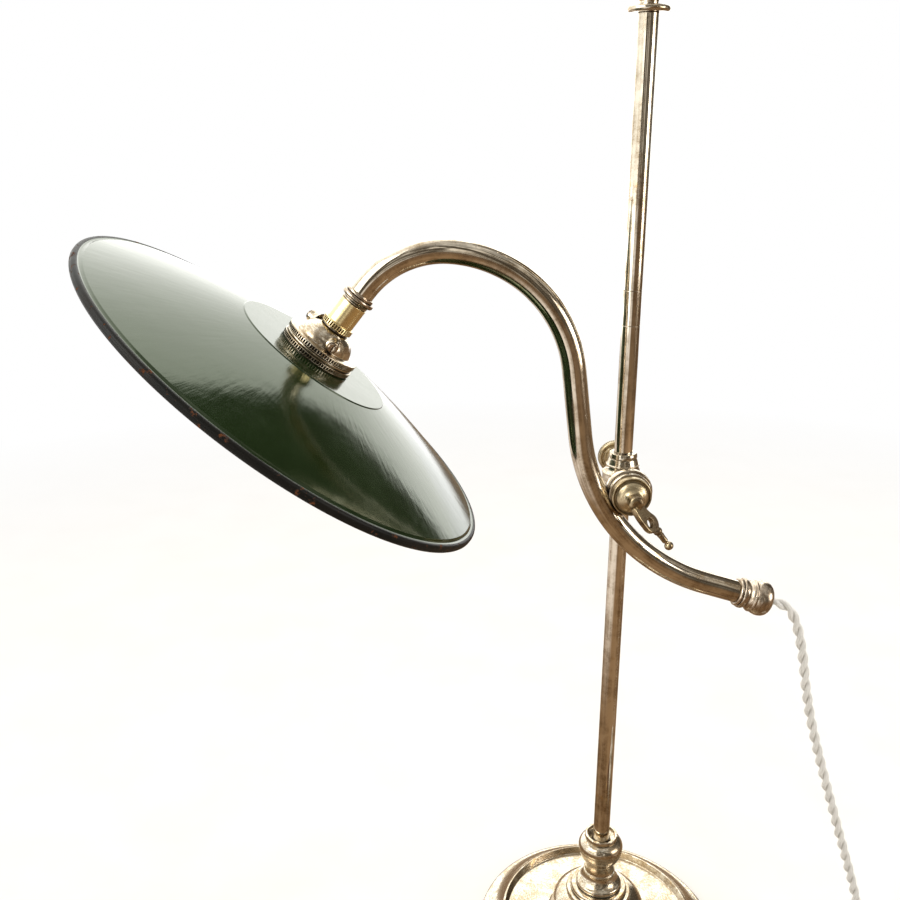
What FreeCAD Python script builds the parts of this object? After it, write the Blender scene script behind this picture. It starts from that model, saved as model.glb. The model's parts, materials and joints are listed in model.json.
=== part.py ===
import FreeCAD, Part

import math
import operator
import os

import Sketcher

# Desk lamp with a sliding swan-neck arm, in millimetres, +Z up along the stem.
# The origin is the centre of the base's underside. +X points to the arm's tail, +Y away from the viewer.

Vector = FreeCAD.Vector
doc = FreeCAD.newDocument("desk_lamp")
sheet = doc.addObject("Spreadsheet::Sheet", "sizes")

LENGTHS = {
    # base, from the rim inwards
    "base_radius": 72.5,
    "rim_lift": 0.6,
    "rim_height": 3.0,
    "rim_step": 2.5,
    "ridge_inset": 15.5,
    "ridge_height": 14.0,
    "ridge_width": 3.3,
    "floor_height": 10.0,
    "floor_dip": 0.4,
    "boss_foot_radius": 30.5,
    "boss_foot_height": 12.0,
    "boss_radius": 27.0,
    "boss_height": 24.0,
    "crown_radius": 19.5,
    "crown_height": 30.0,
    "shell_wall": 1.0,
    "felt_thickness": 1.6,
    "weight_gap": 0.8,
    "nut_recess_radius": 12.5,
    "nut_recess_depth": 12.4,
    "base_washer_radius": 10.5,
    "base_washer_thickness": 1.6,
    "base_nut_flats": 17.0,
    "base_nut_thickness": 8.0,
    # column foot, from the bottom up
    "spigot_radius": 5.0,
    "spigot_end_height": 3.6,
    "big_ring_height": 2.5,
    "mid_ring_radius": 16.8,
    "mid_ring_height": 3.0,
    "small_ring_radius": 13.4,
    "small_ring_height": 3.0,
    "waist_radius": 8.9,
    "waist_height": 45.5,
    "waist_line_step": 0.5,
    "waist_line_height": 1.0,
    "ball_radius": 13.0,
    "ball_bottom_height": 53.5,
    "ball_height": 62.5,
    "lip_groove_radius": 9.1,
    "lip_radius": 9.4,
    "lip_bottom_height": 69.0,
    "lip_top_height": 72.0,
    "lip_mouth_radius": 8.2,
    "lip_mouth_depth": 8.0,
    # stem and finial
    "stem_diameter": 9.5,
    "stem_wall": 1.2,
    "stem_seat_height": 50.0,
    "seam_height": 381.4,
    "coupling_length": 17.6,
    "coupling_spigot_length": 12.0,
    "stem_top_height": 526.2,
    "finial_spigot_length": 10.0,
    "finial_flange_radius": 9.6,
    "finial_flange_height": 2.8,
    "finial_neck_radius": 4.4,
    "finial_neck_height": 2.0,
    "finial_body_radius": 7.0,
    "finial_body_height": 10.0,
    "finial_tip_radius": 1.9,
    "finial_tip_height": 3.5,
    # slider on the stem
    "pivot_height": 298.0,
    "slider_half_length": 16.0,
    "slider_ring_radius": 7.4,
    "slider_ring_height": 2.8,
    "slider_neck_radius": 7.0,
    "slider_barrel_radius": 8.3,
    "slider_barrel_height": 9.0,
    "slider_shoulder_radius": 10.5,
    "slider_shoulder_height": 5.0,
    "slider_bush_wall": 1.1,
    "slider_bush_slit": 1.0,
    "pivot_boss_radius": 9.0,
    "pivot_boss_face": 13.0,
    "knob_lift": 6.6,
    "knob_boss_radius": 4.6,
    "knob_boss_face": 13.0,
    # pivot, measured out from the stem's axis
    "spindle_radius": 3.0,
    "spindle_end": 36.0,
    "pivot_washer_thickness": 1.0,
    "drum_ring_radius": 12.06,
    "drum_ring_start": 15.4,
    "drum_ring_end": 19.0,
    "drum_core_radius": 10.6,
    "drum_second_radius": 11.1,
    "drum_second_start": 19.9,
    "drum_second_end": 22.0,
    "drum_front_radius": 10.06,
    "drum_front_start": 22.8,
    "drum_face": 26.0,
    "spring_radius": 6.4,
    "spring_thickness": 1.2,
    "cap_radius": 7.9,
    "cap_height": 4.6,
    "cap_nose_radius": 4.6,
    "key_boss_radius": 3.9,
    "key_boss_length": 6.0,
    "key_thickness": 2.8,
    "key_reach": 32.0,
    "key_web_width": 13.0,
    "key_hole_radius": 3.1,
    "key_bead_radius": 2.4,
    "key_tip_radius": 2.6,
    "key_stalk_radius": 1.5,
    "knob_screw_radius": 2.5,
    "knob_stalk_radius": 3.6,
    "knob_disc_start": 19.0,
    "knob_disc_end": 23.0,
    "knob_disc_radius": 9.0,
    "knob_dome_height": 1.6,
    "lock_pad_thickness": 1.5,
    # swan-neck arm
    "arm_offset": 18.5,
    "arm_diameter": 12.0,
    "arm_wall": 1.1,
    "pivot_reach": 14.98,
    "saddle_bend_radius": 100.98,
    "neck_straight": 33.33,
    "neck_bend_radius": 66.33,
    "lamp_bend_radius": 47.47,
    "lamp_straight": 8.3,
    "tail_straight": 32.37,
    "tail_ring_start": 14.0,
    "tail_ring_end": 8.2,
    "tail_ring_radius": 8.0,
    "tail_neck_radius": 6.6,
    "tail_neck_length": 0.8,
    "tail_ball_radius": 9.5,
    "tail_ball_centre": 0.6,
    "tail_ball_front": 4.9,
    "tail_face_radius": 6.6,
    "outlet_radius": 3.4,
    "outlet_lip_radius": 4.8,
    "outlet_lip_height": 0.6,
    # lamp holder, heights measured up the lamp's axis from the plane of the shade's rim
    "sleeve_top": 53.0,
    "collar_length": 6.2,
    "collar_body_radius": 6.6,
    "collar_ring_radius": 8.5,
    "collar_lip_radius": 6.9,
    "nipple_wall": 1.5,
    "nipple_length": 16.0,
    "sleeve_radius": 6.8,
    "sleeve_ring_radius": 8.0,
    "sleeve_ring_bottom": 38.3,
    "sleeve_ring_height": 3.1,
    "sleeve_spigot_radius": 5.0,
    "sleeve_spigot_length": 3.8,
    "dome_wall": 1.5,
    "dome_neck_radius": 6.6,
    "dome_base_radius": 14.2,
    "dome_base_height": 29.6,
    "dome_flange_radius": 19.0,
    "dome_flange_bottom": 26.2,
    "dome_flange_height": 2.7,
    "grip_height": 32.0,
    "grip_rear_height": 33.4,
    "grip_boss_radius": 3.0,
    "grip_boss_reach": 14.2,
    "grip_rear_reach": 15.2,
    "grip_screw_radius": 1.5,
    "grip_screw_tip": 8.4,
    "grip_head_radius": 2.3,
    "grip_head_height": 1.2,
    "grip_slot_width": 0.6,
    "barrel_radius": 14.0,
    "barrel_bore_radius": 11.4,
    "barrel_bottom": -4.0,
    "barrel_top": 28.2,
    "barrel_lip_radius": 9.4,
    "barrel_lip_bottom": 22.4,
    "slot_width": 2.6,
    "slot_depth": 9.0,
    "slot_side": 4.4,
    "slot_seat": 1.6,
    "upper_ring_radius": 18.3,
    "upper_ring_height": 1.6,
    "lower_ring_radius": 19.0,
    "lower_ring_height": 2.8,
    "ring_groove": 0.5,
    "shade_nut_radius": 18.0,
    "shade_nut_height": 4.0,
    "insulator_height": 7.6,
    "terminal_thickness": 1.2,
    "terminal_radius": 3.4,
    "plunger_pitch": 8.0,
    "plunger_radius": 1.8,
    "plunger_head_radius": 2.5,
    "plunger_head_height": 1.2,
    "plunger_head_depth": 2.0,
    "plunger_reach": 5.0,
    "plunger_travel": 3.0,
    "contact_spring_radius": 2.3,
    "contact_spring_wall": 0.5,
    # shade
    "shade_radius": 113.8,
    "shade_bead_radius": 1.6,
    "shade_wall": 1.1,
    "shade_top": 21.7,
    "shade_crown_radius": 41.0,
    "shade_crown_step": 0.5,
    # flex, coil, tie and plug
    "flex_diameter": 5.2,
    "flex_table_height": 2.8,
    "coil_x": 158.0,
    "coil_y": -72.0,
    "coil_radius": 40.0,
    "coil_step": 6.0,
    "coil_height": 3.4,
    "coil_layer_step": 5.9,
    "tie_thickness": 0.6,
    "tie_width": 7.0,
    "plug_x": 119.0,
    "plug_y": -113.6,
    "plug_height": 13.4,
    "guard_length": 22.0,
    "guard_start_radius": 3.5,
    "guard_end_radius": 5.4,
    "plug_radius": 12.6,
    "plug_shoulder_radius": 8.6,
    "plug_cover_length": 17.0,
    "plug_body_length": 13.0,
    "plug_round": 2.0,
    "pin_radius": 2.0,
    "pin_length": 19.0,
    "pin_pitch": 19.0,
    "pin_root": 6.0,
    "plug_screw_radius": 1.6,
    "plug_screw_head_radius": 3.0,
    "plug_screw_depth": 8.0,
    "plug_screw_head_height": 1.2,
    # fits
    "running_clearance": 0.05,
    "fixed_clearance": 0.03,
    "end_float": 0.1,
    "free_clearance": 0.3,
    "overrun": 1.0,
}

# Angles in degrees. The saddle is the arm's nearest point to its pivot, seen from the pivot.
SADDLE_ANGLE = 211.37
NECK_EASE_ANGLE = 23.99
NECK_ANGLE = 78.89
LAMP_ANGLE = 55.36
TAIL_ANGLE = 41.17
KEY_ANGLE = 52.0
KEY_TWIST = 30.0
GRIP_ANGLES = (-75.0, 144.0)
TIE_ANGLE = 128.0

# Coil: turns in its two layers together, counted from the side where the flex comes in.
COIL_TURNS = 8.25
QUARTERS = 4

# Arcs in outlines: the tangent of a quarter of the arc's angle, + bulging out and - hollow.
BEAD_SHARE = 0.75
ROUND_SHARE = 0.41
SWELL_SHARE = 0.2
COVE_SHARE = -0.3
EASE_SHARE = -0.12

# Shares of the key's length: where its web ends, and where the web is widest.
KEY_WEB_SHARE = 0.58
KEY_WAIST_SHARE = 0.6

# How far the flex runs straight out of its outlet, in its own diameters.
LEAD_OUT_SHARE = 2.12


class Size:
    """A length with the sheet's formula for it, so that what is made from it stays bound to the sheet."""

    def __init__(self, number, formula):
        self.number = number
        self.formula = formula

    def __add__(self, other):
        return combined(self, "+", other)

    def __radd__(self, other):
        return combined(other, "+", self)

    def __sub__(self, other):
        return combined(self, "-", other)

    def __rsub__(self, other):
        return combined(other, "-", self)

    def __mul__(self, other):
        return combined(self, "*", other)

    def __rmul__(self, other):
        return combined(other, "*", self)

    def __truediv__(self, other):
        return combined(self, "/", other)

    def __neg__(self):
        return combined(0, "-", self)


# How a sketch numbers the points of an edge.
EDGE_POINTS = ("edge", "start", "finish", "centre")
OPERATIONS = {"+": operator.add, "-": operator.sub, "*": operator.mul, "/": operator.truediv}


def number(value):
    return value.number if isinstance(value, Size) else value


def formula(value):
    return value.formula if isinstance(value, Size) else repr(value)


def combined(first, sign, second):
    result = OPERATIONS[sign](number(first), number(second))
    return Size(result, f"({formula(first)} {sign} {formula(second)})")


class Sizes:
    """The sheet's sizes by name."""


d = Sizes()
for row, (name, value) in enumerate(LENGTHS.items(), start=1):
    sheet.set(f"A{row}", name)
    sheet.set(f"B{row}", str(value))
    sheet.setAlias(f"B{row}", name)
doc.recompute()
for name in LENGTHS:
    setattr(d, name, Size(float(sheet.get(name)), f"sizes.{name}"))

pieces = []


def listed(piece, name, place=None):
    """Names a finished sub-part, puts it in place and lists it for export."""
    piece.Label = name
    if place is not None:
        piece.Placement = place
    pieces.append(piece)
    return piece


# Sketches bound to the sheet


def origin_plane(body, role):
    return next(item for item in body.Origin.OriginFeatures if item.Role == role)


def new_sketch(body, name, role):
    sketch = body.newObject("Sketcher::SketchObject", name)
    sketch.AttachmentSupport = (origin_plane(body, role), [""])
    sketch.MapMode = "FlatFace"
    return sketch


def bound(sketch, constraint, value):
    """Adds a constraint and ties it to the value's formula."""
    index = sketch.addConstraint(constraint)
    if isinstance(value, Size):
        sketch.setExpression(f"Constraints[{index}]", value.formula)
    return index


def pin_point(sketch, edge, end, x, y):
    """Fixes a point of an edge at a place measured from the sketch's origin."""
    origin = (-1, 1)
    vertical_axis = -2
    horizontal_axis = -1
    if number(x) == 0:
        sketch.addConstraint(Sketcher.Constraint("PointOnObject", edge, end, vertical_axis))
    else:
        bound(sketch, Sketcher.Constraint("DistanceX", *origin, edge, end, number(x)), x)
    if number(y) == 0:
        sketch.addConstraint(Sketcher.Constraint("PointOnObject", edge, end, horizontal_axis))
    else:
        bound(sketch, Sketcher.Constraint("DistanceY", *origin, edge, end, number(y)), y)


def bulge_radius(start, end, bulge):
    """Radius of the arc over a chord, from the tangent of a quarter of its angle."""
    across = end[0] - start[0]
    up = end[1] - start[1]
    share = (1 + bulge * bulge) / (4 * abs(bulge))
    length = math.hypot(number(across), number(up)) * share
    return Size(length, f"({share} * sqrt({formula(across)}^2 + {formula(up)}^2))")


def arc_over(start, end, bulge):
    """The arc from start to end of a chord, drawn the counterclockwise way that sketches keep."""
    first = Vector(number(start[0]), number(start[1]), 0)
    last = Vector(number(end[0]), number(end[1]), 0)
    if bulge < 0:
        first, last = last, first
    radius = number(bulge_radius(start, end, bulge))
    chord = last - first
    left = Vector(-chord.y, chord.x, 0).normalize()
    rise = math.sqrt(max(radius ** 2 - (chord.Length / 2) ** 2, 0))
    centre = (first + last) / 2 + left * (rise if abs(bulge) < 1 else -rise)
    from_angle = math.atan2(first.y - centre.y, first.x - centre.x)
    to_angle = math.atan2(last.y - centre.y, last.x - centre.x)
    if to_angle < from_angle:
        to_angle += 2 * math.pi
    return Part.ArcOfCircle(Part.Circle(centre, Vector(0, 0, 1), radius), from_angle, to_angle)


def draw_outline(sketch, outline):
    """A closed outline, counterclockwise. A point's third entry bulges the edge that arrives at it."""
    start_end = EDGE_POINTS.index("start")
    finish_end = EDGE_POINTS.index("finish")
    ends = []
    for index, point in enumerate(outline):
        before = outline[index - 1]
        bulge = point[2] if len(point) > 2 else 0
        if bulge:
            edge = sketch.addGeometry(arc_over(before, point, bulge), False)
            bound(sketch, Sketcher.Constraint("Radius", edge, number(bulge_radius(before, point, bulge))),
                  bulge_radius(before, point, bulge))
        else:
            first = Vector(number(before[0]), number(before[1]), 0)
            last = Vector(number(point[0]), number(point[1]), 0)
            edge = sketch.addGeometry(Part.LineSegment(first, last), False)
        forwards = bulge >= 0
        ends.append((edge, start_end if forwards else finish_end, finish_end if forwards else start_end))
    for index, (edge, _, last_end) in enumerate(ends):
        next_edge, next_first_end, _ = ends[(index + 1) % len(ends)]
        sketch.addConstraint(Sketcher.Constraint("Coincident", edge, last_end, next_edge, next_first_end))
        pin_point(sketch, edge, last_end, outline[index][0], outline[index][1])


def draw_circle(sketch, x, y, radius):
    circle = Part.Circle(Vector(number(x), number(y), 0), Vector(0, 0, 1), number(radius))
    edge = sketch.addGeometry(circle, False)
    pin_point(sketch, edge, EDGE_POINTS.index("centre"), x, y)
    bound(sketch, Sketcher.Constraint("Radius", edge, number(radius)), radius)


# Features


def turned_body(name, outline):
    """A solid turned about its own Z axis from an outline of radius and height."""
    body = doc.addObject("PartDesign::Body", name)
    sketch = new_sketch(body, name + "_outline", "XZ_Plane")
    draw_outline(sketch, outline)
    turn = body.newObject("PartDesign::Revolution", name + "_turn")
    turn.Profile = sketch
    turn.ReferenceAxis = (sketch, ["V_Axis"])
    turn.Angle = 360
    return body


def turned(name, outline, place=None):
    return listed(turned_body(name, outline), name, place)


def ring(name, inner, outer, bottom, top, place=None):
    return turned(name, [(inner, bottom), (outer, bottom), (outer, top), (inner, top)], place)


def padded(body, name, sketch, length, reverse=False, midplane=False):
    pad = body.newObject("PartDesign::Pad", name)
    pad.Profile = sketch
    pad.setExpression("Length", length.formula)
    pad.Reversed = reverse
    pad.Midplane = midplane
    return pad


def pocketed(body, name, sketch, reverse=False, midplane=False):
    """Cuts the sketch right through, one way or both ways from its plane."""
    pocket = body.newObject("PartDesign::Pocket", name)
    pocket.Profile = sketch
    pocket.Type = "ThroughAll"
    pocket.Reversed = reverse
    pocket.Midplane = midplane
    return pocket


def cylinder(name, radius, height, place):
    rod = doc.addObject("Part::Cylinder", name)
    rod.setExpression("Radius", formula(radius))
    rod.setExpression("Height", formula(height))
    rod.Placement = place
    return rod


def joined(name, parts):
    fuse = doc.addObject("Part::MultiFuse", name)
    fuse.Shapes = parts
    return fuse


def cut(name, base, tool):
    result = doc.addObject("Part::Cut", name)
    result.Base = base
    result.Tool = tool
    return result


def grouped(name, parts, place=None):
    """Like pieces that share a node, as separate solids."""
    group = doc.addObject("Part::Compound", name)
    group.Links = parts
    return listed(group, name, place)


def shaped(name, shape):
    """A piece whose shape follows a path."""
    piece = doc.addObject("Part::Feature", name)
    piece.Shape = shape
    piece.Placement = FreeCAD.Placement()
    return piece


# Places


def placed(x, y, z, axis=Vector(0, 0, 1), angle=0):
    return FreeCAD.Placement(Vector(number(x), number(y), number(z)), FreeCAD.Rotation(axis, angle))


ACROSS = Vector(1, 0, 0)
AWAY = Vector(0, 1, 0)
pivot_place = placed(0, 0, d.pivot_height, ACROSS, 90)
knob_place = placed(0, 0, d.pivot_height + d.knob_lift, ACROSS, -90)
slider_place = placed(0, 0, d.pivot_height)


def arm_point(x, z):
    return Vector(x, -number(d.arm_offset), z)


class Walk:
    """A path in the arm's plane, walked in straights and tangent arcs from a point and a heading."""

    def __init__(self, x, z, heading):
        self.x = x
        self.z = z
        self.heading = heading
        self.edges = []

    def direction(self):
        angle = math.radians(self.heading)
        return math.cos(angle), math.sin(angle)

    def straight(self, length):
        start = arm_point(self.x, self.z)
        across, up = self.direction()
        self.x += number(length) * across
        self.z += number(length) * up
        self.edges.append(Part.LineSegment(start, arm_point(self.x, self.z)).toShape())

    def bend(self, radius, angle):
        """Turns left by an angle in degrees, or right by a negative one."""
        side = math.copysign(1, angle)
        across, up = self.direction()
        centre_x = self.x - side * number(radius) * up
        centre_z = self.z + side * number(radius) * across
        start = arm_point(self.x, self.z)
        stops = []
        for share in (0.5, 1):
            swept = math.radians(self.heading + angle * share)
            stops.append(arm_point(centre_x + side * number(radius) * math.sin(swept),
                                   centre_z - side * number(radius) * math.cos(swept)))
        self.edges.append(Part.Arc(start, stops[0], stops[1]).toShape())
        self.x, self.z = stops[1].x, stops[1].z
        self.heading += angle


saddle = math.radians(SADDLE_ANGLE)
saddle_x = number(d.pivot_reach) * math.cos(saddle)
saddle_z = number(d.pivot_height) + number(d.pivot_reach) * math.sin(saddle)

to_tail = Walk(saddle_x, saddle_z, SADDLE_ANGLE + 90 - 360)
to_tail.bend(d.saddle_bend_radius, TAIL_ANGLE)
to_tail.straight(d.tail_straight)

to_lamp = Walk(saddle_x, saddle_z, SADDLE_ANGLE - 90)
to_lamp.bend(d.saddle_bend_radius, -NECK_EASE_ANGLE)
to_lamp.straight(d.neck_straight)
to_lamp.bend(d.neck_bend_radius, NECK_ANGLE)
to_lamp.bend(d.lamp_bend_radius, LAMP_ANGLE)
to_lamp.straight(d.lamp_straight)

# The lamp's axis carries on from the arm's end, and its frame's Z points back up into the arm.
lamp_lean = 270 - to_lamp.heading
lean = math.radians(lamp_lean)
lamp_place = placed(to_lamp.x - number(d.sleeve_top) * math.sin(lean), -d.arm_offset,
                    to_lamp.z - number(d.sleeve_top) * math.cos(lean), AWAY, lamp_lean)
tail_place = placed(to_tail.x, -d.arm_offset, to_tail.z, AWAY, 90 - to_tail.heading)


def in_frame(place, shift=Vector(0, 0, 0), axis=Vector(0, 0, 1), angle=0):
    """A place inside another frame."""
    return place.multiply(FreeCAD.Placement(shift, FreeCAD.Rotation(axis, angle)))


def pipe(path_edges, start, along, radius):
    """A round bar along a path of edges that starts at a point."""
    profile = Part.Wire([Part.Circle(start, along, number(radius)).toShape()])
    return Part.Wire(path_edges).makePipeShell([profile], True, False)


# Base


def build_base():
    wall = d.shell_wall
    ridge_radius = d.base_radius - d.ridge_inset
    shoulder_radius = ridge_radius + d.ridge_width / 2
    wall_foot_radius = ridge_radius - d.ridge_width / 2
    floor_inner = d.boss_foot_radius + (wall_foot_radius - d.boss_foot_radius) / 2
    floor_inner_height = d.floor_height - d.floor_dip
    step_radius = d.base_radius - d.rim_step
    step_height = d.rim_height + wall
    spigot_hole = d.spigot_radius + d.free_clearance
    hem_radius = d.base_radius - wall
    turned("base_shell", [
        (hem_radius, d.rim_lift),
        (d.base_radius, d.rim_lift),
        (d.base_radius, d.rim_height, SWELL_SHARE),
        (step_radius, step_height, SWELL_SHARE),
        (shoulder_radius, d.ridge_height - wall, EASE_SHARE),
        (ridge_radius, d.ridge_height, SWELL_SHARE),
        (wall_foot_radius, d.floor_height),
        (floor_inner, floor_inner_height),
        (d.boss_foot_radius, d.boss_foot_height, EASE_SHARE),
        (d.boss_radius, d.boss_height, EASE_SHARE),
        (d.crown_radius, d.crown_height, SWELL_SHARE),
        (spigot_hole, d.crown_height),
        (spigot_hole, d.crown_height - wall),
        (d.crown_radius - wall, d.crown_height - wall),
        (d.boss_radius - wall, d.boss_height - wall, -SWELL_SHARE),
        (d.boss_foot_radius - wall, d.boss_foot_height - wall, -EASE_SHARE),
        (floor_inner, floor_inner_height - wall, -EASE_SHARE),
        (wall_foot_radius + wall, d.floor_height - wall),
        (ridge_radius, d.ridge_height - wall - d.floor_dip),
        (shoulder_radius - wall, d.ridge_height - wall - wall),
        (step_radius - wall, step_height - wall, -EASE_SHARE),
        (hem_radius, d.rim_height - wall),
    ])
    weight_radius = step_radius - wall - d.free_clearance
    ledge = d.felt_thickness + d.weight_gap
    recess_top = d.felt_thickness + d.nut_recess_depth
    hub_radius = d.boss_radius - wall - d.weight_gap - d.weight_gap
    turned("base_weight", [
        (spigot_hole, recess_top),
        (d.nut_recess_radius, recess_top),
        (d.nut_recess_radius, d.felt_thickness),
        (weight_radius, d.felt_thickness),
        (weight_radius, ledge),
        (shoulder_radius, ledge + d.weight_gap),
        (wall_foot_radius, floor_inner_height - wall - d.weight_gap),
        (hub_radius, floor_inner_height - wall - d.weight_gap),
        (hub_radius, d.boss_height - wall - d.weight_gap),
        (d.crown_radius - wall - d.weight_gap, d.crown_height - wall - d.weight_gap),
        (d.small_ring_radius, d.crown_height - wall),
        (spigot_hole, d.crown_height - wall),
    ])
    felt_radius = hem_radius - d.free_clearance
    turned("base_felt", [(0, 0), (felt_radius, 0), (felt_radius, d.felt_thickness), (0, d.felt_thickness)])
    washer_bottom = recess_top - d.base_washer_thickness
    ring("base_washer", spigot_hole, d.base_washer_radius, washer_bottom, recess_top)
    build_base_nut(washer_bottom)


def build_base_nut(nut_top):
    """A six-sided nut under the washer."""
    body = doc.addObject("PartDesign::Body", "base_nut")
    sketch = new_sketch(body, "base_nut_outline", "XY_Plane")
    sides = 6
    corner = d.base_nut_flats / (2 * math.cos(math.pi / sides))
    corners = [2 * math.pi * (side + 1 / QUARTERS) / sides for side in range(sides)]
    draw_outline(sketch, [(corner * math.cos(angle), corner * math.sin(angle)) for angle in corners])
    draw_circle(sketch, 0, 0, d.spigot_radius + d.fixed_clearance)
    padded(body, "base_nut_pad", sketch, d.base_nut_thickness)
    listed(body, "base_nut", placed(0, 0, nut_top - d.base_nut_thickness))


def build_column():
    big_top = d.crown_height + d.big_ring_height
    mid_top = big_top + d.mid_ring_height
    small_top = mid_top + d.small_ring_height
    line_bottom = d.waist_height
    line_top = line_bottom + d.waist_line_height
    line_radius = d.waist_radius + d.waist_line_step
    stem_seat = d.stem_diameter / 2 + d.fixed_clearance
    turned("column_foot", [
        (0, d.spigot_end_height),
        (d.spigot_radius, d.spigot_end_height),
        (d.spigot_radius, d.crown_height),
        (d.crown_radius, d.crown_height),
        (d.crown_radius - d.waist_line_step, big_top, SWELL_SHARE),
        (d.mid_ring_radius - d.waist_line_step, big_top),
        (d.mid_ring_radius, big_top + d.waist_line_step),
        (d.mid_ring_radius - d.waist_line_step, mid_top, SWELL_SHARE),
        (d.small_ring_radius - d.waist_line_step, mid_top),
        (d.small_ring_radius - d.waist_line_step, small_top, ROUND_SHARE),
        (d.waist_radius, line_bottom, COVE_SHARE),
        (line_radius, line_bottom),
        (line_radius, line_top, ROUND_SHARE),
        (d.waist_radius, line_top),
        (d.lip_groove_radius, d.ball_bottom_height, EASE_SHARE),
        (d.ball_radius, d.ball_height, SWELL_SHARE),
        (d.lip_groove_radius, d.lip_bottom_height, ROUND_SHARE),
        (d.lip_radius, d.lip_bottom_height),
        (d.lip_radius, d.lip_top_height, SWELL_SHARE),
        (d.lip_mouth_radius, d.lip_top_height),
        (d.lip_mouth_radius, d.lip_top_height - d.lip_mouth_depth),
        (stem_seat, d.lip_top_height - d.lip_mouth_depth),
        (stem_seat, d.stem_seat_height),
        (0, d.stem_seat_height),
    ])


def build_stem():
    radius = d.stem_diameter / 2
    bore = radius - d.stem_wall
    spigot = bore - d.fixed_clearance
    coupling_top = d.seam_height + d.coupling_length
    ring("stem_lower", bore, radius, d.stem_seat_height, d.seam_height)
    turned("stem_coupling", [
        (0, d.seam_height - d.coupling_spigot_length),
        (spigot, d.seam_height - d.coupling_spigot_length),
        (spigot, d.seam_height),
        (radius, d.seam_height),
        (radius, coupling_top),
        (spigot, coupling_top),
        (spigot, coupling_top + d.coupling_spigot_length),
        (0, coupling_top + d.coupling_spigot_length),
    ])
    ring("stem_upper", bore, radius, coupling_top, d.stem_top_height)
    flange_top = d.stem_top_height + d.finial_flange_height
    neck_top = flange_top + d.finial_neck_height
    body_top = neck_top + d.finial_body_height
    turned("finial", [
        (0, d.stem_top_height - d.finial_spigot_length),
        (spigot, d.stem_top_height - d.finial_spigot_length),
        (spigot, d.stem_top_height),
        (d.finial_flange_radius - d.finial_flange_height / 4, d.stem_top_height),
        (d.finial_flange_radius - d.finial_flange_height / 4, flange_top, BEAD_SHARE),
        (d.finial_neck_radius, flange_top),
        (d.finial_neck_radius, neck_top, EASE_SHARE),
        (d.finial_body_radius, neck_top + d.finial_body_height / 2, SWELL_SHARE),
        (d.finial_tip_radius, body_top, SWELL_SHARE),
        (d.finial_tip_radius, body_top + d.finial_tip_height / 2),
        (d.finial_tip_radius / 4, body_top + d.finial_tip_height, SWELL_SHARE),
        (0, body_top + d.finial_tip_height),
    ])


# Slider, its bush and its lock


def build_slider():
    end = d.slider_half_length
    face = end - d.slider_ring_height
    bush_bore = d.stem_diameter / 2 + d.running_clearance
    bush_radius = bush_bore + d.slider_bush_wall
    bush = turned_body("slider_bush", [
        (bush_bore, -end),
        (d.slider_ring_radius, -end),
        (d.slider_ring_radius, -face, SWELL_SHARE),
        (bush_radius, -face),
        (bush_radius, end),
        (bush_bore, end),
    ])
    slit = new_sketch(bush, "slider_bush_slit", "XZ_Plane")
    half = d.slider_bush_slit / 2
    draw_outline(slit, [(-half, -end - half), (half, -end - half), (half, end + half), (-half, end + half)])
    pocketed(bush, "slider_bush_slit_cut", slit, reverse=True)
    listed(bush, "slider_bush", slider_place)
    ring("bush_ring", bush_radius + d.fixed_clearance, d.slider_ring_radius, face, end, slider_place)

    top = face - d.end_float
    body = turned_body("slider_body", [
        (0, -top),
        (d.slider_neck_radius, -top),
        (d.slider_barrel_radius, -d.slider_barrel_height),
        (d.slider_shoulder_radius, -d.slider_shoulder_height, COVE_SHARE),
        (d.slider_shoulder_radius, d.slider_shoulder_height),
        (d.slider_barrel_radius, d.slider_barrel_height, COVE_SHARE),
        (d.slider_neck_radius, top),
        (0, top),
    ])
    front = new_sketch(body, "slider_front_boss", "XZ_Plane")
    draw_circle(front, 0, 0, d.pivot_boss_radius)
    padded(body, "slider_front_pad", front, d.pivot_boss_face)
    rear = new_sketch(body, "slider_rear_boss", "XZ_Plane")
    draw_circle(rear, 0, d.knob_lift, d.knob_boss_radius)
    padded(body, "slider_rear_pad", rear, d.knob_boss_face, reverse=True)
    bore = new_sketch(body, "slider_bore", "XY_Plane")
    draw_circle(bore, 0, 0, bush_radius + d.running_clearance)
    pocketed(body, "slider_bore_cut", bore, midplane=True)
    spindle_hole = new_sketch(body, "slider_spindle_hole", "XZ_Plane")
    draw_circle(spindle_hole, 0, 0, d.spindle_radius + d.fixed_clearance)
    pocketed(body, "slider_spindle_cut", spindle_hole, reverse=True)
    knob_hole = new_sketch(body, "slider_knob_hole", "XZ_Plane")
    draw_circle(knob_hole, 0, d.knob_lift, d.knob_screw_radius + d.running_clearance)
    pocketed(body, "slider_knob_cut", knob_hole)
    listed(body, "slider_body", slider_place)
    build_lock(bush_radius)
    build_pivot(bush_radius)


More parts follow.
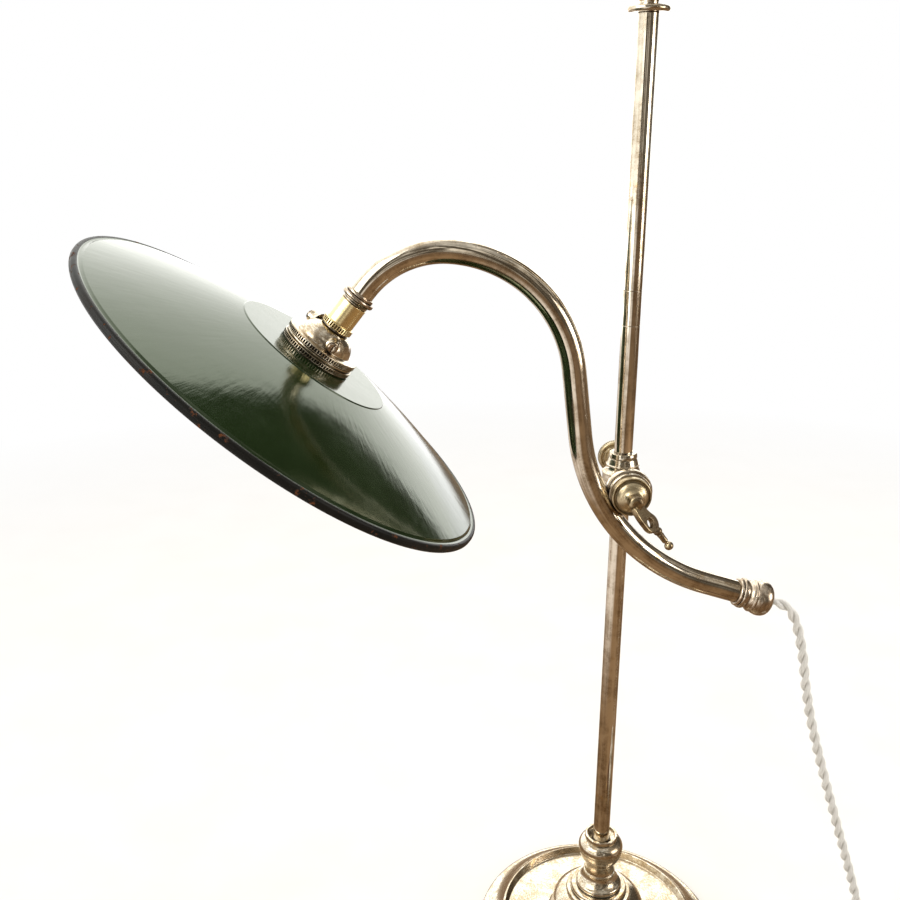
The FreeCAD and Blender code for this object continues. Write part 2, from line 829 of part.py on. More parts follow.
def build_lock(bush_radius):
    pad_start = bush_radius + d.end_float
    pad_end = pad_start + d.lock_pad_thickness
    pad_radius = d.knob_screw_radius - d.running_clearance
    turned("lock_pad", [
        (0, pad_start),
        (pad_radius, pad_start),
        (pad_radius, pad_end),
        (0, pad_end),
    ], knob_place)
    rim = (d.knob_disc_end - d.knob_disc_start) / 4
    stalk_start = d.knob_boss_face + d.end_float
    turned("lock_knob", [
        (0, pad_end),
        (d.knob_screw_radius, pad_end),
        (d.knob_screw_radius, stalk_start),
        (d.knob_stalk_radius, stalk_start),
        (d.knob_stalk_radius, d.knob_disc_start - rim),
        (d.knob_stalk_radius + rim, d.knob_disc_start),
        (d.knob_disc_radius - rim, d.knob_disc_start),
        (d.knob_disc_radius, d.knob_disc_start + rim, SWELL_SHARE),
        (d.knob_disc_radius, d.knob_disc_end - rim),
        (d.knob_disc_radius - rim, d.knob_disc_end, SWELL_SHARE),
        (d.knob_disc_radius - rim - rim, d.knob_disc_end - rim),
        (rim, d.knob_disc_end + d.knob_dome_height, SWELL_SHARE),
        (0, d.knob_disc_end + d.knob_dome_height),
    ], knob_place)


def build_pivot(bush_radius):
    spindle_start = bush_radius + d.free_clearance
    turned("pivot_spindle", [(0, spindle_start), (d.spindle_radius, spindle_start),
                             (d.spindle_radius, d.spindle_end), (0, d.spindle_end)], pivot_place)
    drum_back = d.pivot_boss_face + d.pivot_washer_thickness
    bore = d.spindle_radius + d.running_clearance
    ring("pivot_washer", bore, d.pivot_boss_radius, d.pivot_boss_face, drum_back, pivot_place)
    recess = d.drum_face - d.spring_thickness
    blank = turned_body("drum_blank", [
        (bore, drum_back),
        (d.drum_core_radius, drum_back),
        (d.drum_core_radius, d.drum_ring_start),
        (d.drum_ring_radius, d.drum_ring_start),
        (d.drum_ring_radius, d.drum_ring_end, SWELL_SHARE),
        (d.drum_core_radius, d.drum_ring_end),
        (d.drum_core_radius, d.drum_second_start),
        (d.drum_second_radius, d.drum_second_start),
        (d.drum_second_radius, d.drum_second_end, SWELL_SHARE),
        (d.drum_front_radius - d.end_float, d.drum_second_end),
        (d.drum_front_radius - d.end_float, d.drum_front_start),
        (d.drum_front_radius, d.drum_front_start),
        (d.drum_front_radius, d.drum_face, SWELL_SHARE),
        (d.spring_radius + d.free_clearance, d.drum_face),
        (d.spring_radius + d.free_clearance, recess),
        (bore, recess),
    ])
    blank.Placement = pivot_place
    listed(cut("arm_drum", blank, arm_rod("arm_saddle_cutter", d.arm_diameter / 2)), "arm_drum")
    ring("pivot_spring", bore, d.spring_radius, recess, d.drum_face, pivot_place)
    cap_end = d.drum_face + d.cap_height
    turned("pivot_cap", [
        (bore, d.drum_face),
        (d.cap_radius, d.drum_face),
        (d.cap_nose_radius, cap_end, SWELL_SHARE),
        (bore, cap_end),
    ], pivot_place)
    build_key(cap_end)


def build_key(boss_start):
    """The pierced key: a threaded boss, a flat web with an eye, a stalk, a bead and a ball tip."""
    boss_end = boss_start + d.key_boss_length
    boss = turned_body("key_boss", [
        (0, d.spindle_end + d.end_float),
        (d.spindle_radius + d.running_clearance, d.spindle_end + d.end_float),
        (d.spindle_radius + d.running_clearance, boss_start + d.end_float),
        (d.key_boss_radius, boss_start + d.end_float),
        (d.key_boss_radius, boss_end),
        (d.key_stalk_radius, boss_end + d.key_thickness / 2, SWELL_SHARE),
        (0, boss_end + d.key_thickness / 2),
    ])
    # The web is drawn with X out along the key and Y along the spindle, and then twisted about X.
    web = doc.addObject("PartDesign::Body", "key_web")
    outline = new_sketch(web, "key_web_outline", "XZ_Plane")
    half_web = d.key_web_width / 2
    middle = boss_start + d.key_boss_length / 2
    web_end = d.key_reach * KEY_WEB_SHARE
    root = d.spindle_radius + d.free_clearance
    draw_outline(outline, [
        (root, -d.key_thickness),
        (web_end * KEY_WAIST_SHARE, d.key_thickness - half_web, EASE_SHARE),
        (web_end, -d.key_stalk_radius, ROUND_SHARE),
        (web_end, d.key_stalk_radius),
        (web_end * KEY_WAIST_SHARE, half_web, ROUND_SHARE),
        (root, d.key_thickness, SWELL_SHARE),
    ])
    draw_circle(outline, web_end * KEY_WAIST_SHARE + d.key_stalk_radius, d.key_stalk_radius,
                d.key_hole_radius)
    padded(web, "key_web_pad", outline, d.key_thickness, midplane=True)
    twist = FreeCAD.Rotation(Vector(1, 0, 0), KEY_TWIST)
    web.Placement = FreeCAD.Placement(Vector(0, 0, number(middle)), twist)
    bead_start = web_end - d.key_stalk_radius
    stalk = turned_body("key_stalk", [
        (0, bead_start),
        (d.key_stalk_radius, bead_start),
        (d.key_stalk_radius, bead_start + d.key_bead_radius * 2, ROUND_SHARE),
        (d.key_stalk_radius, d.key_reach - d.key_tip_radius * 2, EASE_SHARE),
        (d.key_stalk_radius / 4, d.key_reach, BEAD_SHARE),
        (0, d.key_reach),
    ])
    stalk.Placement = placed(0, 0, middle, AWAY, 90)
    key = joined("thumb_key", [boss, web, stalk])
    listed(key, "thumb_key", in_frame(pivot_place, angle=-KEY_ANGLE))


# Arm


def arm_rod(name, radius):
    """A round bar along the whole arm, from its tail to its lamp end."""
    backwards = [edge.reversed() for edge in reversed(to_tail.edges)]
    across, up = to_tail.direction()
    start = arm_point(to_tail.x, to_tail.z)
    return shaped(name, pipe(backwards + to_lamp.edges, start, Vector(-across, 0, -up), radius))


def build_arm():
    radius = d.arm_diameter / 2
    outer = arm_rod("arm_tube_outer", radius)
    inner = arm_rod("arm_tube_bore", radius - d.arm_wall)
    listed(cut("arm_tube", outer, inner), "arm_tube")
    build_tail(radius)
    build_arm_end(radius)


def build_tail(radius):
    bore = radius + d.fixed_clearance
    neck_start = d.tail_ring_end + d.tail_neck_length
    ring_length = (d.tail_ring_start - neck_start) / 2
    waist = d.tail_ring_radius - ring_length / 4
    turned("tail_collar", [
        (bore, -d.tail_ring_start),
        (waist, -d.tail_ring_start),
        (waist, -d.tail_ring_start + ring_length, ROUND_SHARE),
        (waist, -neck_start, ROUND_SHARE),
        (d.tail_neck_radius, -neck_start),
        (d.tail_neck_radius, -d.tail_ring_end),
        (bore, -d.tail_ring_end),
    ], tail_place)
    # The ball is bored for the tube from behind and for the outlet bush in front.
    front = d.tail_ball_front
    turned("tail_ball", [
        (bore, -d.tail_ring_end),
        (d.tail_neck_radius, -d.tail_ring_end),
        (d.tail_ball_radius, -d.tail_ball_centre, SWELL_SHARE),
        (d.tail_face_radius, front, SWELL_SHARE),
        (d.outlet_radius + d.fixed_clearance, front),
        (d.outlet_radius + d.fixed_clearance, d.fixed_clearance),
        (bore, d.fixed_clearance),
    ], tail_place)
    lip_top = front + d.outlet_lip_height
    flex_hole = d.flex_diameter / 2 + d.fixed_clearance
    turned("tail_bush", [
        (flex_hole, d.end_float),
        (d.outlet_radius, d.end_float),
        (d.outlet_radius, front),
        (d.outlet_lip_radius, front),
        (d.outlet_lip_radius - d.outlet_lip_height / 2, lip_top, SWELL_SHARE),
        (flex_hole, lip_top),
    ], tail_place)


def build_arm_end(radius):
    top = d.sleeve_top
    bore = radius + d.fixed_clearance
    collar_top = top + d.collar_length
    third = d.collar_length / 3
    ring_edge = d.collar_ring_radius - third / 4
    turned("arm_collar", [
        (bore, top),
        (d.collar_body_radius, top),
        (d.collar_body_radius, top + third),
        (ring_edge, top + third),
        (ring_edge, top + third + third, ROUND_SHARE),
        (d.collar_lip_radius, top + third + third),
        (d.collar_lip_radius, collar_top - third / 2),
        (bore, collar_top),
    ], lamp_place)
    nipple_radius = radius - d.arm_wall - d.fixed_clearance
    nipple_bottom = top - d.nipple_length / 2
    straight_end = top + d.lamp_straight
    ring("arm_nipple", nipple_radius - d.nipple_wall, nipple_radius, nipple_bottom,
         straight_end - d.overrun, lamp_place)
    ring_top = d.sleeve_ring_bottom + d.sleeve_ring_height
    flex_way = nipple_radius - d.nipple_wall
    turned("holder_sleeve", [
        (flex_way, d.sleeve_ring_bottom - d.sleeve_spigot_length),
        (d.sleeve_spigot_radius, d.sleeve_ring_bottom - d.sleeve_spigot_length),
        (d.sleeve_spigot_radius, d.sleeve_ring_bottom),
        (d.sleeve_ring_radius, d.sleeve_ring_bottom),
        (d.sleeve_ring_radius, ring_top),
        (d.sleeve_radius, ring_top),
        (d.sleeve_radius, top),
        (nipple_radius + d.fixed_clearance, top),
        (nipple_radius + d.fixed_clearance, nipple_bottom),
        (flex_way, nipple_bottom),
    ], lamp_place)


# Lamp holder and shade


def radial(angle, start, height):
    """A place on the lamp's axis frame with Z pointing out at an angle, a distance from the axis."""
    turn = math.radians(angle)
    out = Vector(math.cos(turn), math.sin(turn), 0)
    shift = out * number(start) + Vector(0, 0, number(height))
    return FreeCAD.Placement(shift, FreeCAD.Rotation(Vector(0, 0, 1), out))


def build_holder():
    wall = d.dome_wall
    flange_top = d.dome_flange_bottom + d.dome_flange_height
    dome_top = d.sleeve_ring_bottom
    spigot_hole = d.sleeve_spigot_radius + d.fixed_clearance
    barrel_hole = d.barrel_radius + d.fixed_clearance
    inner_top = dome_top - wall - wall
    blank = turned_body("dome_blank", [
        (barrel_hole, d.dome_flange_bottom),
        (d.dome_flange_radius, d.dome_flange_bottom),
        (d.dome_flange_radius, flange_top, SWELL_SHARE),
        (d.dome_base_radius, d.dome_base_height, EASE_SHARE),
        (d.dome_neck_radius, dome_top - wall / 2, SWELL_SHARE),
        (d.dome_neck_radius, dome_top),
        (spigot_hole, dome_top),
        (spigot_hole, inner_top),
        (d.dome_base_radius - wall, d.dome_base_height, -SWELL_SHARE),
        (d.dome_base_radius - wall, d.barrel_top + d.fixed_clearance),
        (barrel_hole, d.barrel_top + d.fixed_clearance),
    ])
    boss_start = d.dome_base_radius - wall - wall
    bosses = []
    holes = []
    screws = []
    reaches = (d.grip_boss_reach, d.grip_rear_reach)
    heights = (d.grip_height, d.grip_rear_height)
    for index, (angle, reach, height) in enumerate(zip(GRIP_ANGLES, reaches, heights), start=1):
        bosses.append(cylinder(f"grip_boss_{index}", d.grip_boss_radius, reach - boss_start,
                               radial(angle, boss_start, height)))
        holes.append(cylinder(f"grip_hole_{index}", d.grip_screw_radius + d.fixed_clearance,
                              reach, radial(angle, boss_start / 2, height)))
        screws.append(build_grip_screw(index, angle, reach, height))
    raised = joined("dome_with_bosses", [blank] + bosses)
    listed(cut("holder_dome", raised, joined("grip_holes", holes)), "holder_dome", lamp_place)
    grouped("grip_screws", screws, lamp_place)
    build_barrel()


def build_grip_screw(index, angle, seat, height):
    shank = cylinder(f"grip_shank_{index}", d.grip_screw_radius, seat - d.grip_screw_tip,
                     radial(angle, d.grip_screw_tip, height))
    head = cylinder(f"grip_head_{index}", d.grip_head_radius, d.grip_head_height,
                    radial(angle, seat, height))
    slot = doc.addObject("Part::Box", f"grip_slot_{index}")
    slot.setExpression("Length", formula(d.grip_head_radius * 4))
    slot.setExpression("Width", formula(d.grip_slot_width))
    slot.setExpression("Height", formula(d.grip_head_height))
    slot_floor = seat + d.grip_head_height / 2
    corner = FreeCAD.Placement(Vector(-number(d.grip_head_radius) * 2, -number(d.grip_slot_width) / 2, 0),
                               FreeCAD.Rotation())
    slot.Placement = radial(angle, slot_floor, height).multiply(corner)
    return cut(f"grip_screw_{index}", joined(f"grip_solid_{index}", [shank, head]), slot)


def build_barrel():
    bore = d.barrel_bore_radius
    lip_top = d.barrel_lip_bottom + d.dome_wall
    body = turned_body("holder_body", [
        (bore, d.barrel_bottom),
        (d.barrel_radius, d.barrel_bottom),
        (d.barrel_radius, d.barrel_top),
        (bore, d.barrel_top),
        (bore, lip_top),
        (d.barrel_lip_radius, lip_top),
        (d.barrel_lip_radius, d.barrel_lip_bottom),
        (bore, d.barrel_lip_bottom),
    ])
    # Each bayonet slot runs up from the mouth, then sideways, and ends in a short seat.
    slots = new_sketch(body, "bayonet_slots", "XZ_Plane")
    half = d.slot_width / 2
    slot_top = d.barrel_bottom + d.slot_depth
    side_end = half + d.slot_side
    draw_outline(slots, [
        (-half, d.barrel_bottom - d.overrun),
        (half, d.barrel_bottom - d.overrun),
        (half, slot_top - d.slot_width),
        (side_end - d.slot_width, slot_top - d.slot_width),
        (side_end - d.slot_width, slot_top - d.slot_width - d.slot_seat),
        (side_end, slot_top - d.slot_width - d.slot_seat),
        (side_end, slot_top),
        (-half, slot_top),
    ])
    pocketed(body, "bayonet_slot_cut", slots, midplane=True)
    listed(body, "holder_body", lamp_place)

    hole = d.barrel_radius + d.fixed_clearance
    groove = d.lower_ring_radius - d.ring_groove
    lower_top = d.shade_top + d.lower_ring_height
    turned("shade_ring_lower", [
        (hole, d.shade_top),
        (groove, d.shade_top),
        (groove, d.shade_top + d.ring_groove),
        (d.lower_ring_radius, d.shade_top + d.ring_groove),
        (d.lower_ring_radius, lower_top),
        (hole, lower_top),
    ], lamp_place)
    upper_top = lower_top + d.upper_ring_height
    turned("shade_ring_upper", [
        (hole, lower_top),
        (d.upper_ring_radius, lower_top),
        (d.upper_ring_radius, upper_top, SWELL_SHARE),
        (hole, upper_top),
    ], lamp_place)
    shade_under = d.shade_top - d.shade_wall
    ring("shade_nut", hole, d.shade_nut_radius, shade_under - d.shade_nut_height, shade_under, lamp_place)
    build_contacts()
    build_shade(hole, shade_under)


def build_contacts():
    """The insulator under the barrel's lip, with two sprung plungers below two terminal plates."""
    top = d.barrel_lip_bottom
    bottom = top - d.insulator_height
    offsets = (-d.plunger_pitch / 2, d.plunger_pitch / 2)
    head_bottom = bottom + d.plunger_head_depth
    body = turned_body("insulator_blank", [(0, bottom), (d.barrel_bore_radius - d.fixed_clearance, bottom),
                                           (d.barrel_bore_radius - d.fixed_clearance, top), (0, top)])
    guides = new_sketch(body, "plunger_guides", "XY_Plane")
    for offset in offsets:
        draw_circle(guides, offset, 0, d.plunger_radius + d.running_clearance)
    pocketed(body, "plunger_guide_cut", guides, midplane=True)
    doc.recompute()
    chambers = [cylinder(f"plunger_chamber_{index}", d.plunger_head_radius + d.running_clearance,
                         top - head_bottom, placed(offset, 0, head_bottom))
                for index, offset in enumerate(offsets, start=1)]
    listed(cut("insulator", body, joined("plunger_chambers", chambers)), "insulator", lamp_place)
    plates = []
    springs = []
    plungers = []
    pressed = top - head_bottom - d.plunger_head_height - d.plunger_travel
    for index, offset in enumerate(offsets, start=1):
        plates.append(cylinder(f"terminal_{index}", d.terminal_radius, d.terminal_thickness,
                               placed(offset, 0, top)))
        coil = cylinder(f"spring_outer_{index}", d.contact_spring_radius, pressed,
                        placed(offset, 0, top - pressed))
        hollow = cylinder(f"spring_inner_{index}", d.contact_spring_radius - d.contact_spring_wall,
                          pressed, placed(offset, 0, top - pressed))
        springs.append(cut(f"spring_{index}", coil, hollow))
        stem = cylinder(f"plunger_stem_{index}", d.plunger_radius, d.plunger_reach + d.plunger_head_depth,
                        placed(offset, 0, bottom - d.plunger_reach))
        head = cylinder(f"plunger_head_{index}", d.plunger_head_radius, d.plunger_head_height,
                        placed(offset, 0, head_bottom))
        plungers.append(joined(f"plunger_{index}", [stem, head]))
    grouped("terminal_plates", plates, lamp_place)
    grouped("contact_springs", springs, lamp_place)
    grouped("contact_plungers", plungers, lamp_place)


def build_shade(hole, under):
    wall = d.shade_wall
    bead = d.shade_bead_radius
    crown_edge = d.shade_top - d.shade_crown_step
    turned("shade", [
        (hole, under),
        (d.shade_crown_radius - wall, under),
        (d.shade_crown_radius, crown_edge - wall),
        (d.shade_radius - bead, bead - wall / 2, EASE_SHARE / 4),
        (d.shade_radius - bead, -bead, BEAD_SHARE),
        (d.shade_radius + bead, bead / 4, BEAD_SHARE),
        (d.shade_radius, bead + wall / 2, BEAD_SHARE),
        (d.shade_crown_radius, crown_edge, -EASE_SHARE / 4),
        (d.shade_crown_radius - d.shade_crown_step, d.shade_top, SWELL_SHARE),
        (hole, d.shade_top),
    ], lamp_place)


# Flex


def unit(vector):
    return Vector(vector).normalize()


def rounded_route(points):
    """Straight runs between the points, with the largest tangent arc that each shorter run allows."""
    reach_share = 0.45
    edges = []
    radii = []
    last = points[0]
    for before, corner, after in zip(points, points[1:], points[2:]):
        incoming = unit(corner - before)
        outgoing = unit(after - corner)
        turn = incoming.getAngle(outgoing)
        reach = reach_share * min((corner - before).Length, (after - corner).Length)
        radius = reach / math.tan(turn / 2)
        radii.append(radius)
        arc_start = corner - incoming * reach
        arc_end = corner + outgoing * reach
        inwards = unit(outgoing - incoming)
        middle = corner + inwards * (radius / math.cos(turn / 2) - radius)
        edges.append(Part.LineSegment(last, arc_start).toShape())
        edges.append(Part.Arc(arc_start, middle, arc_end).toShape())
        last = arc_end
    edges.append(Part.LineSegment(last, points[-1]).toShape())
    return edges, radii


def biarc(start, along, end, onward):
    """Two tangent arcs from a point and direction to another, meeting halfway with equal reach."""
    gap = end - start
    both = along + onward
    blend = 2 * (1 - along.dot(onward))
    pull = gap.dot(both)
    reach = gap.dot(gap) / (2 * pull) if blend < 1e-9 else \
        (-pull + math.sqrt(pull * pull + blend * gap.dot(gap))) / blend
    joint = (start + end + (along - onward) * reach) / 2
    return [arc_from(start, along, joint), arc_from(end, -onward, joint, backwards=True)]


def arc_from(start, along, end, backwards=False):
    """The arc that leaves a point in a direction and ends at another point."""
    chord = end - start
    cosine = along.dot(chord) / chord.Length
    sine = math.sqrt(max(1 - cosine * cosine, 0))
    aside = unit(along - unit(chord) * cosine)
    middle = start + chord / 2 + aside * (chord.Length / 2 * sine / (1 + cosine))
    ends = (end, start) if backwards else (start, end)
    return Part.Arc(ends[0], middle, ends[1]).toShape()


def coil_point(turned_angle, whole):
    """A point of the coil: inwards in the lower layer, up in half a turn, outwards in the upper one."""
    halfway = whole / 2
    from_middle = turned_angle - halfway
    radius = number(d.coil_radius) - number(d.coil_step) * (halfway - abs(from_middle)) / (2 * math.pi)
    climb = min(max(from_middle / math.pi + 0.5, 0), 1)
    climbed = climb * climb * (3 - 2 * climb)
    return Vector(number(d.coil_x) + radius * math.cos(turned_angle),
                  number(d.coil_y) - radius * math.sin(turned_angle),
                  number(d.coil_height) + number(d.coil_layer_step) * climbed)


def coil_direction(turned_angle, whole):
    step = 1e-4
    return unit(coil_point(turned_angle + step, whole) - coil_point(turned_angle - step, whole))


def coil_edges():
    """The coil's turns as biarcs of a quarter turn."""
    whole = 2 * math.pi * COIL_TURNS
    count = round(COIL_TURNS * QUARTERS)
    angles = [whole * index / count for index in range(count + 1)]
    edges = []
    for first, last in zip(angles, angles[1:]):
        edges += biarc(coil_point(first, whole), coil_direction(first, whole),
                       coil_point(last, whole), coil_direction(last, whole))
    return edges, coil_point(0, whole), coil_direction(0, whole), coil_point(whole, whole), \
        coil_direction(whole, whole)


# The flex's route, chosen by hand: down from the arm's tail in its plane, then over the table to the coil.
FLEX_DROP = [
    (95.6, -18.5, 222.4),
    (101.2, -18.5, 203.4),
    (104.9, -18.5, 183.6),
    (110.9, -18.5, 159.0),
    (119.4, -18.5, 132.6),
    (129.4, -18.5, 103.6),
    (139.8, -18.5, 73.8),
    (149.8, -18.5, 45.4),
    (155.6, -18.5, 25.0),
    (166.0, -19.0, 8.6),
]
FLEX_TABLE = [
    (181.0, -23.0),
    (192.6, -34.0),
]
PLUG_LEAD = [
    (0.3, 0.0, 0.0),
    (0.7, 1.0, 1.0),
]


def print_least_gap(edges, diameter):
    """Prints how near the coil's line comes to itself, less its diameter."""
    spacing = diameter / 2
    points = []
    for edge in edges:
        count = max(int(edge.Length / spacing), 2)
        points += edge.discretize(count + 1)[:-1]
    skip = int(4 * diameter / spacing)
    nearest = min((points[first] - points[second]).Length
                  for first in range(len(points))
                  for second in range(first + skip, len(points)))
    print("flex_coil: least gap to itself", round(nearest - diameter, 2), "mm")


def print_volume(name, solid, edges, radius):
    length = sum(edge.Length for edge in edges)
    expected = math.pi * radius ** 2 * length
    print(f"{name}: length {length:.1f} mm, volume {solid.Volume:.0f} of {expected:.0f}")


def build_flex():
    radius = number(d.flex_diameter) / 2
    out, down = to_tail.direction()
    along = Vector(out, 0, down)
    leave = arm_point(to_tail.x, to_tail.z) + along * number(d.tail_ball_front + d.outlet_lip_height)
    lead_out = leave + along * (number(d.flex_diameter) * LEAD_OUT_SHARE)

    turns, coil_in, in_direction, coil_out, out_direction = coil_edges()
    straight = number(d.flex_diameter)
    coil_start = coil_in - in_direction * straight
    last_bend = coil_start - in_direction * (straight * 2)
    table = [Vector(x, y, number(d.flex_table_height)) for x, y in FLEX_TABLE]
    points = [leave, lead_out] + [Vector(*point) for point in FLEX_DROP] + table + [last_bend, coil_start]
    edges, radii = rounded_route(points)
    print("flex_drop radii:", [round(value, 1) for value in radii])
    drop = pipe(edges, leave, along, radius)
    print_volume("flex_drop", drop, edges, radius)
    listed(shaped("flex_drop", drop), "flex_drop")

    plug_in = Vector(number(d.plug_x), number(d.plug_y), number(d.plug_height))
    span = plug_in - coil_out
    lead = [coil_out] + [coil_out + Vector(span.x * x_share, span.y * y_share, span.z * z_share)
                         for x_share, y_share, z_share in PLUG_LEAD] + [plug_in]
    lead_edges, lead_radii = rounded_route(lead)
    print("plug lead radii:", [round(value, 1) for value in lead_radii])
    entry = Part.LineSegment(coil_start, coil_in).toShape()
    coil_path = [entry] + turns + lead_edges
    coil = pipe(coil_path, coil_start, in_direction, radius)
    print_volume("flex_coil", coil, coil_path, radius)
    print_least_gap(turns, number(d.flex_diameter))
    listed(shaped("flex_coil", coil), "flex_coil")

    inner = flex_inside_arm(leave, along, radius)
    listed(inner, "flex_inner")
    build_tie()
    build_plug()


def flex_inside_arm(leave, along, radius):
    """The flex from the outlet through the arm, down to the grip screws' height."""
    lean_direction = Vector(-math.sin(lean), 0, -math.cos(lean))
    arm_end = arm_point(to_lamp.x, to_lamp.z)
    tail_end = arm_point(to_tail.x, to_tail.z)
    drop_into_holder = number(d.sleeve_top - d.sleeve_ring_bottom + d.sleeve_spigot_length)
    backwards = [edge.reversed() for edge in reversed(to_tail.edges)]
    edges = [Part.LineSegment(leave, tail_end).toShape()] + backwards + to_lamp.edges
    edges.append(Part.LineSegment(arm_end, arm_end + lean_direction * drop_into_holder).toShape())
    return shaped("flex_inner", pipe(edges, leave, -along, radius - number(d.fixed_clearance)))


def build_tie():
    """A flat band round the coil's turns."""
    wire = d.flex_diameter / 2
    inner_radius = d.coil_radius - d.coil_step * (COIL_TURNS / 2) - wire - d.free_clearance
    outer_radius = d.coil_radius + wire + d.free_clearance
    bottom = d.coil_height - wire - d.free_clearance + d.end_float
    top = d.coil_height + d.coil_layer_step + wire + d.free_clearance
    body = doc.addObject("PartDesign::Body", "coil_tie")
    sketch = new_sketch(body, "coil_tie_outline", "XZ_Plane")
    for grow in (d.tie_thickness, 0):
        draw_outline(sketch, [
            (inner_radius - grow, bottom - grow),
            (outer_radius + grow, bottom - grow),
            (outer_radius + grow, top + grow),
            (inner_radius - grow, top + grow),
        ])
    padded(body, "coil_tie_pad", sketch, d.tie_width, midplane=True)
    listed(body, "coil_tie", placed(d.coil_x, d.coil_y, 0, Vector(0, 0, 1), TIE_ANGLE))


def build_plug():
    place = placed(d.plug_x, d.plug_y, d.plug_height, AWAY, -90)
    guard_end = d.guard_length
    cover_end = guard_end + d.plug_cover_length
    body_end = cover_end + d.plug_body_length
    turned("flex_guard", [
        (0, 0),
        (d.guard_start_radius, 0),
        (d.guard_end_radius, guard_end, EASE_SHARE),
        (0, guard_end),
    ], place)
    turned("plug_cover", [
        (0, guard_end),
        (d.plug_shoulder_radius, guard_end),
        (d.plug_radius, guard_end + d.plug_cover_length / 2, SWELL_SHARE),
        (d.plug_radius, cover_end),
        (0, cover_end),
    ], place)
    body = turned_body("plug_front", [
        (0, cover_end),
        (d.plug_radius, cover_end),
        (d.plug_radius, body_end - d.plug_round),
        (d.plug_radius - d.plug_round, body_end, ROUND_SHARE),
        (0, body_end),
    ])
    root = body_end - d.pin_root
    sides = (-d.pin_pitch / 2, d.pin_pitch / 2)
    holes = [cylinder(f"pin_hole_{index}", d.pin_radius + d.fixed_clearance, d.pin_root,
                      placed(0, side, root)) for index, side in enumerate(sides, start=1)]
    holes.append(cylinder("plug_screw_hole", d.plug_screw_radius + d.fixed_clearance, d.plug_screw_depth,
                          placed(0, 0, body_end - d.plug_screw_depth)))
    listed(cut("plug_body", body, joined("plug_holes", holes)), "plug_body", place)
    pins = [cylinder(f"plug_pin_{index}", d.pin_radius, d.pin_root + d.pin_length, placed(0, side, root))
            for index, side in enumerate(sides, start=1)]
    grouped("plug_pins", pins, place)
    screw_start = body_end - d.plug_screw_depth
    turned("plug_screw", [
        (0, screw_start),
        (d.plug_screw_radius, screw_start),
        (d.plug_screw_radius, body_end),
        (d.plug_screw_head_radius, body_end),
        (d.plug_screw_head_radius, body_end + d.plug_screw_head_height / 2),
        (d.plug_screw_radius, body_end + d.plug_screw_head_height, SWELL_SHARE),
        (0, body_end + d.plug_screw_head_height),
    ], place)


# Build, check and write


def check_document():
    for item in doc.Objects:
        bad = [state for state in item.State if state in ("Invalid", "Error")]
        if bad:
            raise RuntimeError(f"{item.Name} failed: {bad}")
    for piece in pieces:
        if piece.Shape.isNull() or not piece.Shape.isValid():
            raise RuntimeError(f"{piece.Label} has no valid shape")


def write_parts():
    os.makedirs("parts", exist_ok=True)
    for piece in pieces:
        piece.Shape.exportStep(os.path.join("parts", piece.Label + ".step"))
        box = piece.Shape.optimalBoundingBox(False)
        print(f"{piece.Label}: {len(piece.Shape.Solids)} solid, {piece.Shape.Volume:.0f} mm3,",
              f"x {box.XMin:.1f} {box.XMax:.1f} y {box.YMin:.1f} {box.YMax:.1f}",
              f"z {box.ZMin:.1f} {box.ZMax:.1f}")


build_base()
build_column()
build_stem()
build_slider()
build_arm()
build_holder()
build_flex()
doc.recompute()
check_document()
write_parts()
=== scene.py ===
# %% [markdown]
# # A desk lamp with a swan-neck arm
# The lamp's solids were drawn first, at real size, and they are loaded here as a fixed frame.
# Each step below dresses one part of the lamp: it says what the part is on the real object, how it
# could be made, and why it is made this way. The scene is in metres. Outlines, routes and the sizes
# that they are drawn from are written in millimetres, and MM turns a millimetre into metres.

# %% Load the solids
import json
import math

import bmesh
import bpy
import numpy as np
from mathutils import Matrix, Vector

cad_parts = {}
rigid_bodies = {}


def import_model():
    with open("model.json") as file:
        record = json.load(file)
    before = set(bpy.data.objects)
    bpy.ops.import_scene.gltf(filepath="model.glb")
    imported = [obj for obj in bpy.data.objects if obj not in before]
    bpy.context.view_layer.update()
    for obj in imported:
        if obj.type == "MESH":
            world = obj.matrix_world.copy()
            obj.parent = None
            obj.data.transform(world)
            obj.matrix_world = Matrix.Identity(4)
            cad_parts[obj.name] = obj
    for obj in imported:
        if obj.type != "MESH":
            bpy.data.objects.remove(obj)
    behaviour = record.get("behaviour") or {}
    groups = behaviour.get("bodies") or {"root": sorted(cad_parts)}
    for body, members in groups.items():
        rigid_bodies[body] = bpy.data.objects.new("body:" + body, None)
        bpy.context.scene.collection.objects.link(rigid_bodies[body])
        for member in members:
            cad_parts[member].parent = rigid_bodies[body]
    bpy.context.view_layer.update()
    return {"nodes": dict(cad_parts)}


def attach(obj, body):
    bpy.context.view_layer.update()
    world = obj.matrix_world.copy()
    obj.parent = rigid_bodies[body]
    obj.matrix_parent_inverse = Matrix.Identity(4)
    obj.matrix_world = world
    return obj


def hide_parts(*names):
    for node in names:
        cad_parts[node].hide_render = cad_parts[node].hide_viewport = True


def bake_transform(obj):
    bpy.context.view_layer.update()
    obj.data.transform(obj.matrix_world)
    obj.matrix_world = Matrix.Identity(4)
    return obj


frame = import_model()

# %% [markdown]
# ## Where things are
# The lamp stands at the origin with its stem along Z. The arm hangs in a plane in front of the stem,
# its tail to the right and the shade to the left. A place is a 4x4 matrix that takes a piece drawn
# about its own upright axis to where it sits on the lamp. The whole mesh is moved by it, so every
# object keeps its origin at the lamp's own.

